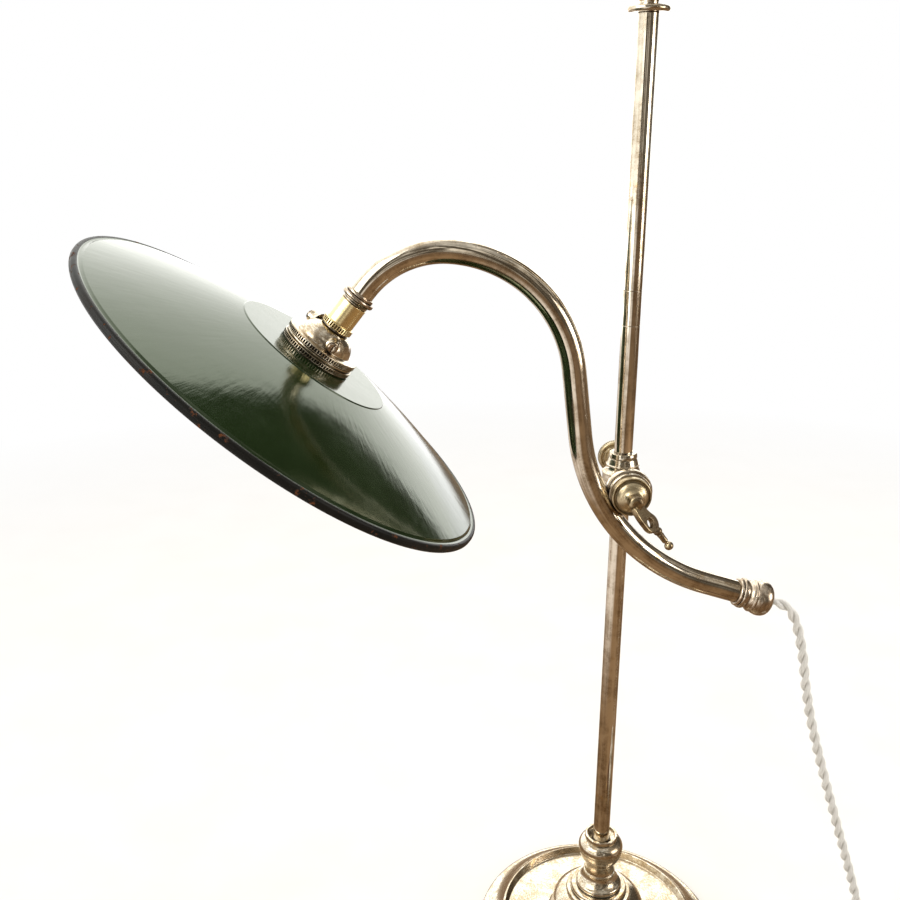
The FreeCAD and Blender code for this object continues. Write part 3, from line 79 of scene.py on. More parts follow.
# %% Places
MM = 0.001
ARM_Y = -18.5 * MM
LAMP_CENTRE = Vector((-170.818, -18.5, 354.558)) * MM
LAMP_LEAN = math.radians(38.37)
TAIL_END = Vector((74.0, -18.5, 236.73)) * MM
TAIL_HEADING = math.radians(-17.44)
PIVOT_HEIGHT = 298.0 * MM
KNOB_HEIGHT = 304.6 * MM
KEY_ANGLE = math.radians(52.0)
QUARTER = math.pi / 2

ON_STEM = Matrix.Identity(4)
ON_LAMP = Matrix.Translation(LAMP_CENTRE) @ Matrix.Rotation(LAMP_LEAN, 4, "Y")
ON_TAIL = Matrix.Translation(TAIL_END) @ Matrix.Rotation(QUARTER - TAIL_HEADING, 4, "Y")
ON_SLIDER = Matrix.Translation((0, 0, PIVOT_HEIGHT))
ON_PIVOT = ON_SLIDER @ Matrix.Rotation(QUARTER, 4, "X")
ON_KEY = ON_PIVOT @ Matrix.Rotation(-KEY_ANGLE, 4, "Z")
ON_KNOB = Matrix.Translation((0, 0, KNOB_HEIGHT)) @ Matrix.Rotation(-QUARTER, 4, "X")
PLUG_ENTRY = Vector((119.0, -113.6, 13.4)) * MM
ON_PLUG = Matrix.Translation(PLUG_ENTRY) @ Matrix.Rotation(-QUARTER, 4, "Y")
print("lamp axis:", [round(x, 3) for x in ON_LAMP.col[2][:3]])

# %% [markdown]
# ## The camera
# The photograph was taken from in front, a little above the arm, with the camera pitched down.
# Its place and lens were worked out from the lamp's known points in the picture.
# Depth of field stays off, so that every piece is sharp from every side.

# %% Camera
SENSOR_WIDTH, LENS = 36.0, 38.4
CAMERA_PLACE = (-0.1098, -0.478, 0.46925)
DEGREES_DOWN, DEGREES_RIGHT = 17.753, 2.2
camera_data = bpy.data.cameras.new("photo_camera")
camera_data.sensor_width = SENSOR_WIDTH
camera_data.lens = LENS
camera = bpy.data.objects.new("photo_camera", camera_data)
camera.location = CAMERA_PLACE
camera.rotation_euler = (math.radians(90 - DEGREES_DOWN), 0, math.radians(-DEGREES_RIGHT))
bpy.context.scene.collection.objects.link(camera)
bpy.context.scene.camera = camera
print("camera at", tuple(round(x, 3) for x in camera.location))

# %% [markdown]
# ## Small helpers for shader nodes
# A material is a graph of nodes. Writing each node and its links out takes many lines, so one helper
# makes a node, sets its plain values and links the sockets that are given to it.

# %% Node helpers
def feed(tree, socket, value):
    """Links a value that is a socket, and sets any other value."""
    if isinstance(value, bpy.types.NodeSocket):
        tree.links.new(value, socket)
    else:
        socket.default_value = value


def node(tree, kind, settings=None, **inputs):
    """A new node. An input given as a socket is linked, and any other value is set."""
    made = tree.nodes.new("ShaderNode" + kind)
    for name, value in (settings or {}).items():
        setattr(made, name, value)
    for name, value in inputs.items():
        feed(tree, made.inputs[int(name[1:]) if name[1:].isdigit() else name.replace("_", " ")], value)
    return made


def math_node(tree, operation, first, second=0.0):
    """A sum, product or other plain operation on two values."""
    return node(tree, "Math", {"operation": operation}, _0=first, _1=second).outputs[0]


def total(tree, first, second):
    """Two values added."""
    return math_node(tree, "ADD", first, second)


def product(tree, first, second):
    """Two values multiplied."""
    return math_node(tree, "MULTIPLY", first, second)


def noise(tree, vector, scale, detail, roughness=0.5):
    """Cloudy values around a half. A larger scale makes smaller clouds."""
    return node(tree, "TexNoise", Vector=vector, Scale=scale, Detail=detail, Roughness=roughness).outputs[0]


def remapped(tree, value, low, high, to_low=0.0, to_high=1.0):
    """A value stretched from one range to another, and held inside it."""
    return node(tree, "MapRange", Value=value, From_Min=low, From_Max=high, To_Min=to_low,
                To_Max=to_high).outputs["Result"]


def blended(tree, share, first, second):
    """Two colours mixed by a share."""
    mix = node(tree, "Mix", {"data_type": "RGBA"})
    for name, value in (("Factor_Float", share), ("A_Color", first), ("B_Color", second)):
        feed(tree, next(s for s in mix.inputs if s.identifier == name), value)
    return next(s for s in mix.outputs if s.identifier == "Result_Color")


def scaled(tree, vector, scale):
    """A vector stretched by its own share along each axis."""
    return node(tree, "VectorMath", {"operation": "MULTIPLY"}, _0=vector, _1=scale).outputs[0]


def dot_product(tree, first, second):
    """How far two vectors point the same way."""
    return node(tree, "VectorMath", {"operation": "DOT_PRODUCT"}, _0=first, _1=second).outputs["Value"]


SOCKETS = {"value": "NodeSocketFloat", "colour": "NodeSocketColor", "vector": "NodeSocketVector"}


def new_group(name, inputs, outputs):
    """An empty shader group with named sockets, each given as (name, kind)."""
    group = bpy.data.node_groups.new(name, "ShaderNodeTree")
    for label, kind in inputs:
        group.interface.new_socket(name=label, in_out="INPUT", socket_type=SOCKETS[kind])
    for label, kind in outputs:
        group.interface.new_socket(name=label, in_out="OUTPUT", socket_type=SOCKETS[kind])
    return group, group.nodes.new("NodeGroupInput").outputs, group.nodes.new("NodeGroupOutput").inputs


def use(tree, group, **inputs):
    """A group placed in a material with its own values."""
    made = tree.nodes.new("ShaderNodeGroup")
    made.node_tree = group
    for name, value in inputs.items():
        feed(tree, made.inputs[name.replace("_", " ")], value)
    return made.outputs


def new_material(name, **values):
    """A material whose one shader has these plain values. Returns it with its tree and its shader."""
    material = bpy.data.materials.new(name)
    material.use_nodes = True
    tree = material.node_tree
    shader = tree.nodes["Principled BSDF"]
    for label, value in values.items():
        shader.inputs[label.replace("_", " ")].default_value = value
    return material, tree, shader


def bumped(tree, shader, height, distance, strength=1.0):
    """Feeds a height to the shader's normal."""
    bump = node(tree, "Bump", Height=height, Distance=distance, Strength=strength)
    tree.links.new(bump.outputs["Normal"], shader.inputs["Normal"])


def where(tree, name):
    """Texture coordinates: 'UV' runs along a piece in metres, 'Object' is the lamp's own frame."""
    return node(tree, "TexCoord").outputs[name]


print("node helpers ready")

# %% [markdown]
# ## Floor, backdrop and light
# The real lamp stood on a table in front of a white wall. Here it stands on a plain pale floor that
# fades into white, so that nothing competes with it, and three broad area lamps give a soft shadow.
# Polished metal only looks like metal when it has something bright and something dark to mirror. So
# what the lamp mirrors is made apart from what lights it: a bright wall on the left and behind, a dim
# room with a few pale uprights on the right and in front, and a brown table top near the base.
# A dot product with one direction tells the two sides of the room apart.

# %% World
WHITE = (1, 1, 1, 1)
WALL_SIDE, WALL_LEVEL, WALL_YELLOWING = (1.0, -0.66, 0.2), 2.45, 0.96
DIM_ROOM, PALE_UPRIGHT, CEILING = (0.095, 0.08, 0.06, 1), (0.85, 0.80, 0.72, 1), (0.9, 0.88, 0.84, 1)
world = bpy.data.worlds.new("white_room")
bpy.context.scene.world = world
world.use_nodes = True
sky = world.node_tree
sky.nodes.clear()


def room_light(direction):
    """The even grey that lights the lamp: brighter behind it and overhead."""
    behind_lamp = remapped(sky, direction["Y"], -0.5, 0.55, 0.30, 0.86)
    overhead = remapped(sky, direction["Z"], 0.1, 0.9, 0.0, 0.25)
    level = total(sky, behind_lamp, overhead)
    return node(sky, "CombineColor", Red=level, Green=level, Blue=level).outputs[0]


def mirrored_room(toward, direction):
    """What the lamp mirrors: a bright wall, a dim room with pale uprights, and a ceiling."""
    side = dot_product(sky, toward, WALL_SIDE)
    wall = remapped(sky, side, 0.105, 0.07)
    level = remapped(sky, direction["X"], -0.85, -0.2, 1.4, WALL_LEVEL)
    yellowed = product(sky, level, WALL_YELLOWING)
    bright = node(sky, "CombineColor", Red=level, Green=level, Blue=yellowed).outputs[0]
    flat = node(sky, "CombineXYZ", X=direction["X"], Y=direction["Y"]).outputs[0]
    uprights = noise(sky, flat, scale=4.2, detail=3.0, roughness=0.6)
    uprights = product(sky, remapped(sky, uprights, 0.5, 0.62), remapped(sky, direction["Y"], 0.5, 0.2))
    around = blended(sky, wall, blended(sky, uprights, DIM_ROOM, PALE_UPRIGHT), bright)
    return blended(sky, remapped(sky, direction["Z"], 0.72, 0.97, 0.0, 0.6), around, CEILING)


toward = where(sky, "Generated")
direction = node(sky, "SeparateXYZ", Vector=toward).outputs
ray = node(sky, "LightPath").outputs
tone = blended(sky, ray["Is Glossy Ray"], room_light(direction), mirrored_room(toward, direction))
tone = blended(sky, ray["Is Camera Ray"], tone, WHITE)
background = node(sky, "Background", Color=tone, Strength=1.0)
sky.links.new(background.outputs[0], node(sky, "OutputWorld").inputs["Surface"])
print("world:", world.name)

# %% Floor
PALE_FLOOR, PALER_FLOOR = (0.80, 0.765, 0.70, 1), (0.83, 0.80, 0.745, 1)
MIRRORED_TABLE = (0.20, 0.125, 0.065, 1)
FLOOR_RADIUS, FLOOR_SIDES, FLOOR_DROP = 12.0, 96, 0.05 * MM


def floor_whiteness(tree, spot, ray):
    """How much of a point of the floor is plain white: far from the lamp, and in part on its left."""
    far = node(tree, "VectorMath", {"operation": "LENGTH"}, _0=spot).outputs["Value"]
    left = node(tree, "SeparateXYZ", Vector=spot).outputs["X"]
    beside_wall = remapped(tree, dot_product(tree, spot, WALL_SIDE), 0.1, -0.1)
    by_wall = product(tree, remapped(tree, far, 1.7, 2.2), beside_wall)
    near = product(tree, remapped(tree, far, 0.25, 0.5), remapped(tree, left, -0.12, -0.3, 0.0, 0.28))
    mirrored = product(tree, math_node(tree, "MAXIMUM", by_wall, near), ray["Is Glossy Ray"])
    seen = product(tree, remapped(tree, far, 0.30, 1.3), ray["Is Camera Ray"])
    return total(tree, seen, mirrored)


def floor_material():
    """Pale stuff for the camera, and the brown of a table top where the lamp mirrors it."""
    material, tree, shader = new_material("pale_floor", Roughness=0.75, Specular_IOR_Level=0.25)
    spot = where(tree, "Object")
    ray = node(tree, "LightPath").outputs
    cloud = noise(tree, spot, scale=14.0, detail=5.0)
    shade = blended(tree, remapped(tree, cloud, 0.3, 0.7), PALE_FLOOR, PALER_FLOOR)
    tree.links.new(blended(tree, ray["Is Glossy Ray"], shade, MIRRORED_TABLE), shader.inputs["Base Color"])
    glow = node(tree, "Emission", Color=WHITE,
                Strength=remapped(tree, ray["Is Glossy Ray"], 0.0, 1.0, 1.0, WALL_LEVEL))
    mix = node(tree, "MixShader", _0=floor_whiteness(tree, spot, ray), _1=shader.outputs[0],
               _2=glow.outputs[0])
    tree.links.new(mix.outputs[0], tree.nodes["Material Output"].inputs["Surface"])
    return material


def make_floor():
    """A broad round floor just under the lamp."""
    mesh = bpy.data.meshes.new("floor")
    work = bmesh.new()
    bmesh.ops.create_circle(work, cap_ends=True, radius=FLOOR_RADIUS, segments=FLOOR_SIDES)
    work.to_mesh(mesh)
    work.free()
    made = bpy.data.objects.new("floor", mesh)
    made.location.z = -FLOOR_DROP
    mesh.materials.append(floor_material())
    bpy.context.scene.collection.objects.link(made)
    return made


print("floor:", make_floor().name)

# %% Lamps
def area_lamp(name, place, aim, size, watts, colour=(1, 1, 1), mirrored=True):
    """A soft square lamp at a place, turned towards a point."""
    data = bpy.data.lights.new(name, "AREA")
    data.size = size
    data.energy = watts
    data.color = colour
    lamp = bpy.data.objects.new(name, data)
    lamp.location = place
    lamp.rotation_euler = (Vector(aim) - Vector(place)).to_track_quat("-Z", "Y").to_euler()
    bpy.context.scene.collection.objects.link(lamp)
    lamp.visible_glossy = mirrored
    return lamp


ARM_HEART = (-0.05, -0.02, 0.32)
lamps = [
    area_lamp("window", (-1.1, -0.5, 1.15), ARM_HEART, size=0.9, watts=11, colour=(1.0, 0.985, 0.96)),
    area_lamp("ceiling", (0.3, 0.5, 1.5), ARM_HEART, size=1.0, watts=10, mirrored=False),
    area_lamp("right_wall", (1.1, -0.5, 0.55), ARM_HEART, size=0.6, watts=6, colour=(1.0, 0.97, 0.93)),
]
print("lamps:", [lamp.name for lamp in lamps])

# %% [markdown]
# ## Shared surface effects
# Old plated metal is never one colour. The plate is brownish where it has tarnished and yellow where
# it is rubbed through, it has fine lines along the way it was polished, and it has small pits.
# These are built once as a group, and each metal places it with its own colours and amounts.
# The grain runs along the group's second axis, which is a tube's length in the UV map.

# %% Group: aged plate
STAIN_SOFTNESS = 0.065
PIT_COLOUR = (0.05, 0.035, 0.022, 1)


def group_aged_plate():
    """Outputs the colour, roughness and height of tarnished and polished plate."""
    group, given, out = new_group(
        "aged_plate",
        [("Vector", "vector"), ("Plate", "colour"), ("Tarnish", "colour"), ("Bare", "colour"),
         ("Tarnish amount", "value"), ("Bare amount", "value"), ("Line length", "value"),
         ("Gloss", "value")],
        [("Colour", "colour"), ("Roughness", "value"), ("Height", "value")])
    spot = given["Vector"]
    clouds = noise(group, spot, scale=70.0, detail=7.0, roughness=0.68)
    fine = noise(group, spot, scale=900.0, detail=4.0, roughness=0.7)
    stretch = node(group, "CombineXYZ", X=1.0, Y=given["Line length"], Z=1.0).outputs[0]
    lines_at = scaled(group, spot, stretch)
    lines = noise(group, lines_at, scale=1500.0, detail=3.0, roughness=0.6)
    streaks = noise(group, lines_at, scale=330.0, detail=4.0, roughness=0.6)
    stain = total(group, product(group, clouds, 0.5), product(group, streaks, 0.5))
    middle = math_node(group, "SUBTRACT", 0.68, product(group, given["Tarnish amount"], 0.34))
    tarnished = remapped(group, stain, math_node(group, "SUBTRACT", middle, STAIN_SOFTNESS),
                         total(group, middle, STAIN_SOFTNESS))
    speckled = product(group, tarnished, remapped(group, fine, 0.3, 0.6, 0.55, 1.0))
    rubbed = noise(group, scaled(group, spot, (1.7, 1.3, 1.5)), scale=46.0, detail=5.0, roughness=0.62)
    bare_from = math_node(group, "SUBTRACT", 0.74, product(group, given["Bare amount"], 0.3))
    bare = remapped(group, rubbed, bare_from, total(group, bare_from, 0.07))
    colour = blended(group, speckled, given["Plate"], given["Tarnish"])
    colour = blended(group, product(group, bare, 0.8), colour, given["Bare"])
    dots = node(group, "TexVoronoi", Vector=spot, Scale=520.0, Randomness=1.0).outputs["Distance"]
    seldom = noise(group, spot, scale=120.0, detail=2.0)
    pit_size = remapped(group, seldom, 0.5, 0.75, 0.0, 0.22)
    pits = remapped(group, dots, product(group, pit_size, 0.6), pit_size, 1.0, 0.0)
    colour = blended(group, product(group, pits, 0.75), colour, PIT_COLOUR)
    group.links.new(colour, out["Colour"])
    rough = total(group, given["Gloss"], product(group, speckled, 0.2))
    rough = total(group, rough, remapped(group, lines, 0.35, 0.7, -0.03, 0.07))
    rough = total(group, rough, product(group, pits, 0.3))
    group.links.new(rough, out["Roughness"])
    height = math_node(group, "SUBTRACT", product(group, lines, 0.16), product(group, pits, 0.9))
    height = total(group, height, product(group, clouds, 0.55))
    group.links.new(height, out["Height"])
    return group


aged_plate = group_aged_plate()
print("group:", aged_plate.name)

# %% Group: grime and painted shade in corners
def group_corner_shade_and_grime():
    """Outputs a mask from ambient occlusion, 1 deep in a groove where shade falls and 0 on open metal: dirt
    and painted shade.
    """
    group, given, out = new_group("corner_shade_and_grime", [("Reach", "value"), ("Amount", "value")],
                                  [("Mask", "value")])
    # Occlusion marks where shade falls, so this mask paints shade as well as dirt.
    open_sky = node(group, "AmbientOcclusion", {"samples": 8}, Distance=given["Reach"]).outputs["AO"]
    closed = remapped(group, open_sky, 0.35, 0.8, 1.0, 0.0)
    group.links.new(product(group, closed, given["Amount"]), out["Mask"])
    return group


corner_shade_and_grime = group_corner_shade_and_grime()
print("group:", corner_shade_and_grime.name)

# %% Group: braided silk
def group_silk_braid():
    """Outputs the height of threads that cross at a slant over a strand, and a share that is low in the dips
    between them, as painted shade, and in worn spots.
    """
    group, given, out = new_group(
        "silk_braid", [("Vector", "vector"), ("Around", "value"), ("Along", "value")],
        [("Height", "value"), ("Shade", "value")])
    spot = node(group, "SeparateXYZ", Vector=given["Vector"]).outputs
    across = product(group, spot["X"], given["Around"])
    along = product(group, spot["Y"], given["Along"])
    both_slants = [math_node(group, "SINE", math_node(group, sign, across, along))
                   for sign in ("ADD", "SUBTRACT")]
    height = math_node(group, "MAXIMUM", *both_slants)
    group.links.new(height, out["Height"])
    fuzz = noise(group, given["Vector"], scale=2600.0, detail=2.0)
    worn = noise(group, given["Vector"], scale=60.0, detail=4.0)
    # Painted shade: the dips between threads are darker, with fuzz and worn spots on top.
    shade = product(group, remapped(group, height, -0.9, 0.9, 0.45, 1.0),
                    remapped(group, fuzz, 0.2, 0.8, 0.8, 1.05))
    shade = product(group, shade, remapped(group, worn, 0.3, 0.7, 0.85, 1.0))
    group.links.new(shade, out["Shade"])
    return group


silk_braid = group_silk_braid()
print("group:", silk_braid.name)

# %% Group: fine grain
def group_fine_grain():
    """Outputs a mottled share and a height for cast, fired and moulded stuff."""
    group, given, out = new_group("fine_grain", [("Vector", "vector"), ("Scale", "value")],
                                  [("Mottle", "value"), ("Height", "value")])
    broad = noise(group, given["Vector"], scale=given["Scale"], detail=6.0, roughness=0.6)
    small = noise(group, given["Vector"], scale=product(group, given["Scale"], 8.0), detail=2.0)
    group.links.new(remapped(group, broad, 0.35, 0.65), out["Mottle"])
    group.links.new(total(group, broad, product(group, small, 0.4)), out["Height"])
    return group


fine_grain = group_fine_grain()
print("group:", fine_grain.name)

# %% [markdown]
# ## Metals
# The stem and arm are nickel-plated brass tube that has gone a warm tan. The turned pieces kept a
# brighter plate. The sleeve over the holder is clean yellow brass, and the pivot's face and cap show
# old brass. Where occlusion is deep, in corners and grooves, the metal is darkened as old polish and
# dirt and as painted shade, and a knurl's grooves take a dark finish of painted shade and dirt. One
# function makes all of these from the same group, so they age alike.

# %% Metal finishes
# The colour of dirt and of painted shade in corners and grooves.
DIRT_AND_SHADE = (0.028, 0.019, 0.012, 1)
SHADE_AND_GRIME_REACH = 1.6 * MM
RELIEF_HEIGHT = 0.06 * MM


def plated_metal(name, plate, tarnish, bare, amount, bare_amount, gloss, line_length, coordinates="UV",
                 grime_and_shade=0.85, relief=0.7):
    """A tarnished metal. A line length below 1 draws the grain out along the piece, above 1 round it."""
    material, tree, shader = new_material(name, Metallic=1.0)
    aged = use(tree, aged_plate, Vector=where(tree, coordinates), Plate=plate, Tarnish=tarnish, Bare=bare,
               Tarnish_amount=amount, Bare_amount=bare_amount, Line_length=line_length, Gloss=gloss)
    # Darker in occluded corners and grooves: partly dirt, partly painted shade.
    dirt_and_shade = use(tree, corner_shade_and_grime, Reach=SHADE_AND_GRIME_REACH, Amount=grime_and_shade)["Mask"]
    tree.links.new(blended(tree, dirt_and_shade, aged["Colour"], DIRT_AND_SHADE), shader.inputs["Base Color"])
    tree.links.new(total(tree, aged["Roughness"], product(tree, dirt_and_shade, 0.35)), shader.inputs["Roughness"])
    bumped(tree, shader, aged["Height"], RELIEF_HEIGHT, relief)
    return material


BRASS_TONE = (0.62, 0.42, 0.19, 1)
tan_nickel = plated_metal(
    "tan_nickel", (0.84, 0.76, 0.63, 1), (0.30, 0.22, 0.13, 1), BRASS_TONE,
    amount=0.50, bare_amount=0.40, gloss=0.02, line_length=0.03, relief=0.3)
bright_nickel = plated_metal(
    "bright_nickel", (0.80, 0.74, 0.62, 1), (0.36, 0.26, 0.145, 1), BRASS_TONE,
    amount=0.58, bare_amount=0.36, gloss=0.07, line_length=6.0)
yellow_brass = plated_metal(
    "yellow_brass", (0.95, 0.78, 0.42, 1), (0.74, 0.54, 0.22, 1), (0.97, 0.86, 0.56, 1),
    amount=0.28, bare_amount=0.30, gloss=0.24, line_length=6.0, grime_and_shade=0.6)
old_brass = plated_metal(
    "old_brass", (0.62, 0.52, 0.34, 1), (0.30, 0.22, 0.12, 1), (0.60, 0.45, 0.22, 1),
    amount=0.50, bare_amount=0.40, gloss=0.26, line_length=6.0)
worn_turning = plated_metal(
    "worn_turning", (0.66, 0.57, 0.46, 1), (0.30, 0.21, 0.13, 1), BRASS_TONE,
    amount=0.55, bare_amount=0.45, gloss=0.15, line_length=6.0)
key_bronze = plated_metal(
    "key_bronze", (0.48, 0.38, 0.23, 1), (0.14, 0.095, 0.055, 1), (0.70, 0.56, 0.34, 1),
    amount=0.6, bare_amount=0.35, gloss=0.2, line_length=1.0, coordinates="Object")
plain_brass = plated_metal(
    "plain_brass", (0.72, 0.52, 0.24, 1), (0.42, 0.28, 0.12, 1), (0.80, 0.60, 0.28, 1),
    amount=0.35, bare_amount=0.3, gloss=0.25, line_length=1.0, coordinates="Object")
plain_steel = plated_metal(
    "plain_steel", (0.56, 0.55, 0.54, 1), (0.30, 0.24, 0.19, 1), (0.36, 0.25, 0.18, 1),
    amount=0.40, bare_amount=0.25, gloss=0.30, line_length=1.0, coordinates="Object")
plain_nickel = plated_metal(
    "plain_nickel", (0.74, 0.69, 0.62, 1), (0.42, 0.33, 0.24, 1), BRASS_TONE,
    amount=0.45, bare_amount=0.3, gloss=0.18, line_length=1.0, coordinates="Object")
# Dark finishes for a knurl's grooves: painted shade between the teeth, with old dirt.
knurl_dirt_and_shade = plated_metal(
    "knurl_dirt_and_shade", (0.040, 0.030, 0.020, 1), (0.020, 0.014, 0.009, 1), (0.08, 0.055, 0.035, 1),
    amount=0.5, bare_amount=0.3, gloss=0.6, line_length=1.0, coordinates="Object")
brass_dirt_and_shade = plated_metal(
    "brass_dirt_and_shade", (0.38, 0.25, 0.10, 1), (0.16, 0.10, 0.045, 1), (0.46, 0.32, 0.14, 1),
    amount=0.5, bare_amount=0.3, gloss=0.45, line_length=1.0, coordinates="Object")
METALS = (tan_nickel, bright_nickel, yellow_brass, old_brass, worn_turning, key_bronze, plain_brass,
          plain_steel, plain_nickel, knurl_dirt_and_shade, brass_dirt_and_shade)
print("metals:", [metal.name for metal in METALS])

# %% [markdown]
# ## Enamel
# The shade is thin steel dipped in glass enamel: dark green outside, white inside, nearly black on
# the rolled rim. Enamel is glossy and slightly wavy like thick paint, and where it has been knocked
# the rim shows dark chips with rust in them. The chips depend on how near the rim a point is, which
# the shade's UV map holds as its second axis, and the rim material places the same group.

# %% Group: enamel chips
CHIP_SOFTNESS = 0.015


def group_enamel_chips():
    """Outputs how chipped and how rusty the enamel is, from a place and an amount."""
    group, given, out = new_group("enamel_chips", [("Vector", "vector"), ("Amount", "value")],
                                  [("Chip", "value"), ("Rust", "value"), ("Height", "value")])
    ragged = noise(group, given["Vector"], scale=170.0, detail=6.0, roughness=0.7)
    edge = math_node(group, "SUBTRACT", 0.82, product(group, given["Amount"], 0.36))
    chip = remapped(group, ragged, edge, total(group, edge, CHIP_SOFTNESS))
    stain = noise(group, given["Vector"], scale=420.0, detail=5.0, roughness=0.7)
    group.links.new(chip, out["Chip"])
    group.links.new(product(group, chip, remapped(group, stain, 0.42, 0.58)), out["Rust"])
    group.links.new(math_node(group, "SUBTRACT", 1.0, chip), out["Height"])
    return group


enamel_chips = group_enamel_chips()
print("group:", enamel_chips.name)

# %% Enamels
BARE_IRON = (0.030, 0.024, 0.021, 1)
RUST = (0.12, 0.042, 0.015, 1)
GLASS_INDEX, DARK_GLASS_INDEX = 1.52, 1.62
GREENISH = (0.87, 1.0, 0.71, 1)
WAVINESS = 0.12 * MM


def enamel(name, colour, second, chip_reach, most_chips, rough, **values):
    """Glass enamel, chipped most at the rim and less within a reach of it."""
    material, tree, shader = new_material(name, **values)
    spot = where(tree, "Object")
    from_rim = node(tree, "SeparateXYZ", Vector=where(tree, "UV")).outputs["Y"]
    amount = remapped(tree, from_rim, 0.0, chip_reach, most_chips, 0.0)
    chips = use(tree, enamel_chips, Vector=spot, Amount=amount)
    mottle = use(tree, fine_grain, Vector=spot, Scale=38.0)
    glaze = blended(tree, mottle["Mottle"], colour, second)
    worn = blended(tree, chips["Chip"], glaze, BARE_IRON)
    tree.links.new(blended(tree, chips["Rust"], worn, RUST), shader.inputs["Base Color"])
    glaze_rough = remapped(tree, mottle["Height"], 0.3, 1.1, *rough)
    tree.links.new(total(tree, product(tree, chips["Chip"], 0.6), glaze_rough), shader.inputs["Roughness"])
    wave = noise(tree, spot, scale=55.0, detail=2.0)
    run_down = scaled(tree, where(tree, "UV"), (1.0, 0.22, 1.0))
    streak = noise(tree, run_down, scale=210.0, detail=5.0, roughness=0.62)
    height = total(tree, product(tree, wave, 1.6), product(tree, streak, 0.9))
    bumped(tree, shader, total(tree, height, chips["Height"]), WAVINESS, 0.6)
    return material


green_enamel = enamel(
    "green_enamel", (0.004, 0.012, 0.002, 1), (0.007, 0.017, 0.004, 1),
    chip_reach=0.004, most_chips=0.75, rough=(0.06, 0.15), IOR=DARK_GLASS_INDEX, Specular_Tint=GREENISH)
white_enamel = enamel(
    "white_enamel", (0.80, 0.79, 0.75, 1), (0.84, 0.83, 0.80, 1),
    chip_reach=0.004, most_chips=0.6, rough=(0.05, 0.15), IOR=GLASS_INDEX)
rim_enamel = enamel(
    "rim_enamel", (0.006, 0.007, 0.006, 1), (0.012, 0.010, 0.008, 1),
    chip_reach=1.0, most_chips=0.62, rough=(0.35, 0.5), IOR=GLASS_INDEX, Specular_IOR_Level=0.12)
print("enamels:", green_enamel.name, white_enamel.name, rim_enamel.name)

# %% [markdown]
# ## Other stuff
# The flex is cotton-covered wire braided in off-white silk, the base has a green baize underneath,
# the weight is cast iron, the plug is brown moulded resin, and the insulators are fired porcelain
# and pressed fibre. Each gets the grain that the real stuff has.

# %% Silk, baize, cast iron, resin, porcelain and fibre
# Silk in painted shade between the threads and in worn spots, and silk on the threads' tops.
SHADED_AND_WORN_SILK, WHITE_SILK = (0.62, 0.57, 0.49, 1), (0.95, 0.92, 0.86, 1)
THREAD_HEIGHT = 0.16 * MM


def silk_material():
    """Off-white silk, braided over the wire."""
    material, tree, shader = new_material("off_white_silk", Roughness=0.55, Sheen_Weight=0.35,
                                          Sheen_Roughness=0.4)
    braid = use(tree, silk_braid, Vector=where(tree, "UV"), Around=7600.0, Along=6200.0)
    tree.links.new(blended(tree, braid["Shade"], SHADED_AND_WORN_SILK, WHITE_SILK), shader.inputs["Base Color"])
    bumped(tree, shader, braid["Height"], THREAD_HEIGHT, 0.9)
    return material


def grained(name, colour, second, scale, bump, rough, **values):
    """A mottled, grained stuff of two near colours."""
    material, tree, shader = new_material(name, **values)
    grain = use(tree, fine_grain, Vector=where(tree, "Object"), Scale=scale)
    tree.links.new(blended(tree, grain["Mottle"], colour, second), shader.inputs["Base Color"])
    tree.links.new(remapped(tree, grain["Height"], 0.3, 1.1, *rough), shader.inputs["Roughness"])
    bumped(tree, shader, grain["Height"], bump, 0.8)
    return material


off_white_silk = silk_material()
baize = grained(
    "green_baize", (0.018, 0.06, 0.03, 1), (0.03, 0.085, 0.045, 1),
    scale=900.0, bump=0.0004, rough=(0.85, 0.98), Sheen_Weight=0.5)
cast_iron = grained(
    "cast_iron", (0.05, 0.047, 0.044, 1), (0.09, 0.08, 0.07, 1),
    scale=260.0, bump=0.0003, rough=(0.55, 0.8), Metallic=0.6)
brown_resin = grained(
    "brown_resin", (0.050, 0.020, 0.012, 1), (0.085, 0.034, 0.018, 1),
    scale=120.0, bump=0.00004, rough=(0.16, 0.3), Coat_Weight=0.3)
porcelain = grained(
    "porcelain", (0.74, 0.72, 0.67, 1), (0.80, 0.78, 0.74, 1),
    scale=180.0, bump=0.00004, rough=(0.12, 0.22), Coat_Weight=0.5)
red_fibre = grained(
    "red_fibre", (0.20, 0.045, 0.028, 1), (0.28, 0.07, 0.04, 1),
    scale=700.0, bump=0.00008, rough=(0.5, 0.7))
cotton_tape = grained(
    "cotton_tape", (0.52, 0.47, 0.38, 1), (0.63, 0.58, 0.49, 1),
    scale=1500.0, bump=0.0002, rough=(0.8, 0.95), Sheen_Weight=0.3)
print("other stuff ready")

# %% [markdown]
# ## Turned pieces
# Most of the lamp came off a lathe, so most pieces are an outline turned about an axis. A Screw
# modifier could do it, but code that writes the rings itself can also lay out a UV map in metres,
# cut a knurl, and ease every corner by a hair, which is what catches the light on real metal.
# An outline lists (radius, height) in millimetres, counterclockwise, and a third number bows the
# edge that arrives at a point, as the tangent of a quarter of its angle.

# %% Outlines
# An arc gets a point for every half millimetre and for every 9 degrees, and at least four.
ARC_STEP, ARC_TURN, LEAST_ARC_POINTS = 0.5, 0.16, 4
# A corner that turns by over 17 degrees is eased, along at most 0.4 of each edge beside it.
SHARP_TURN, EDGE_SHARE, LEAD_SHARE, CORNER_SHARE, ON_AXIS = 0.3, 0.4, 1.2, 0.29, 1e-6


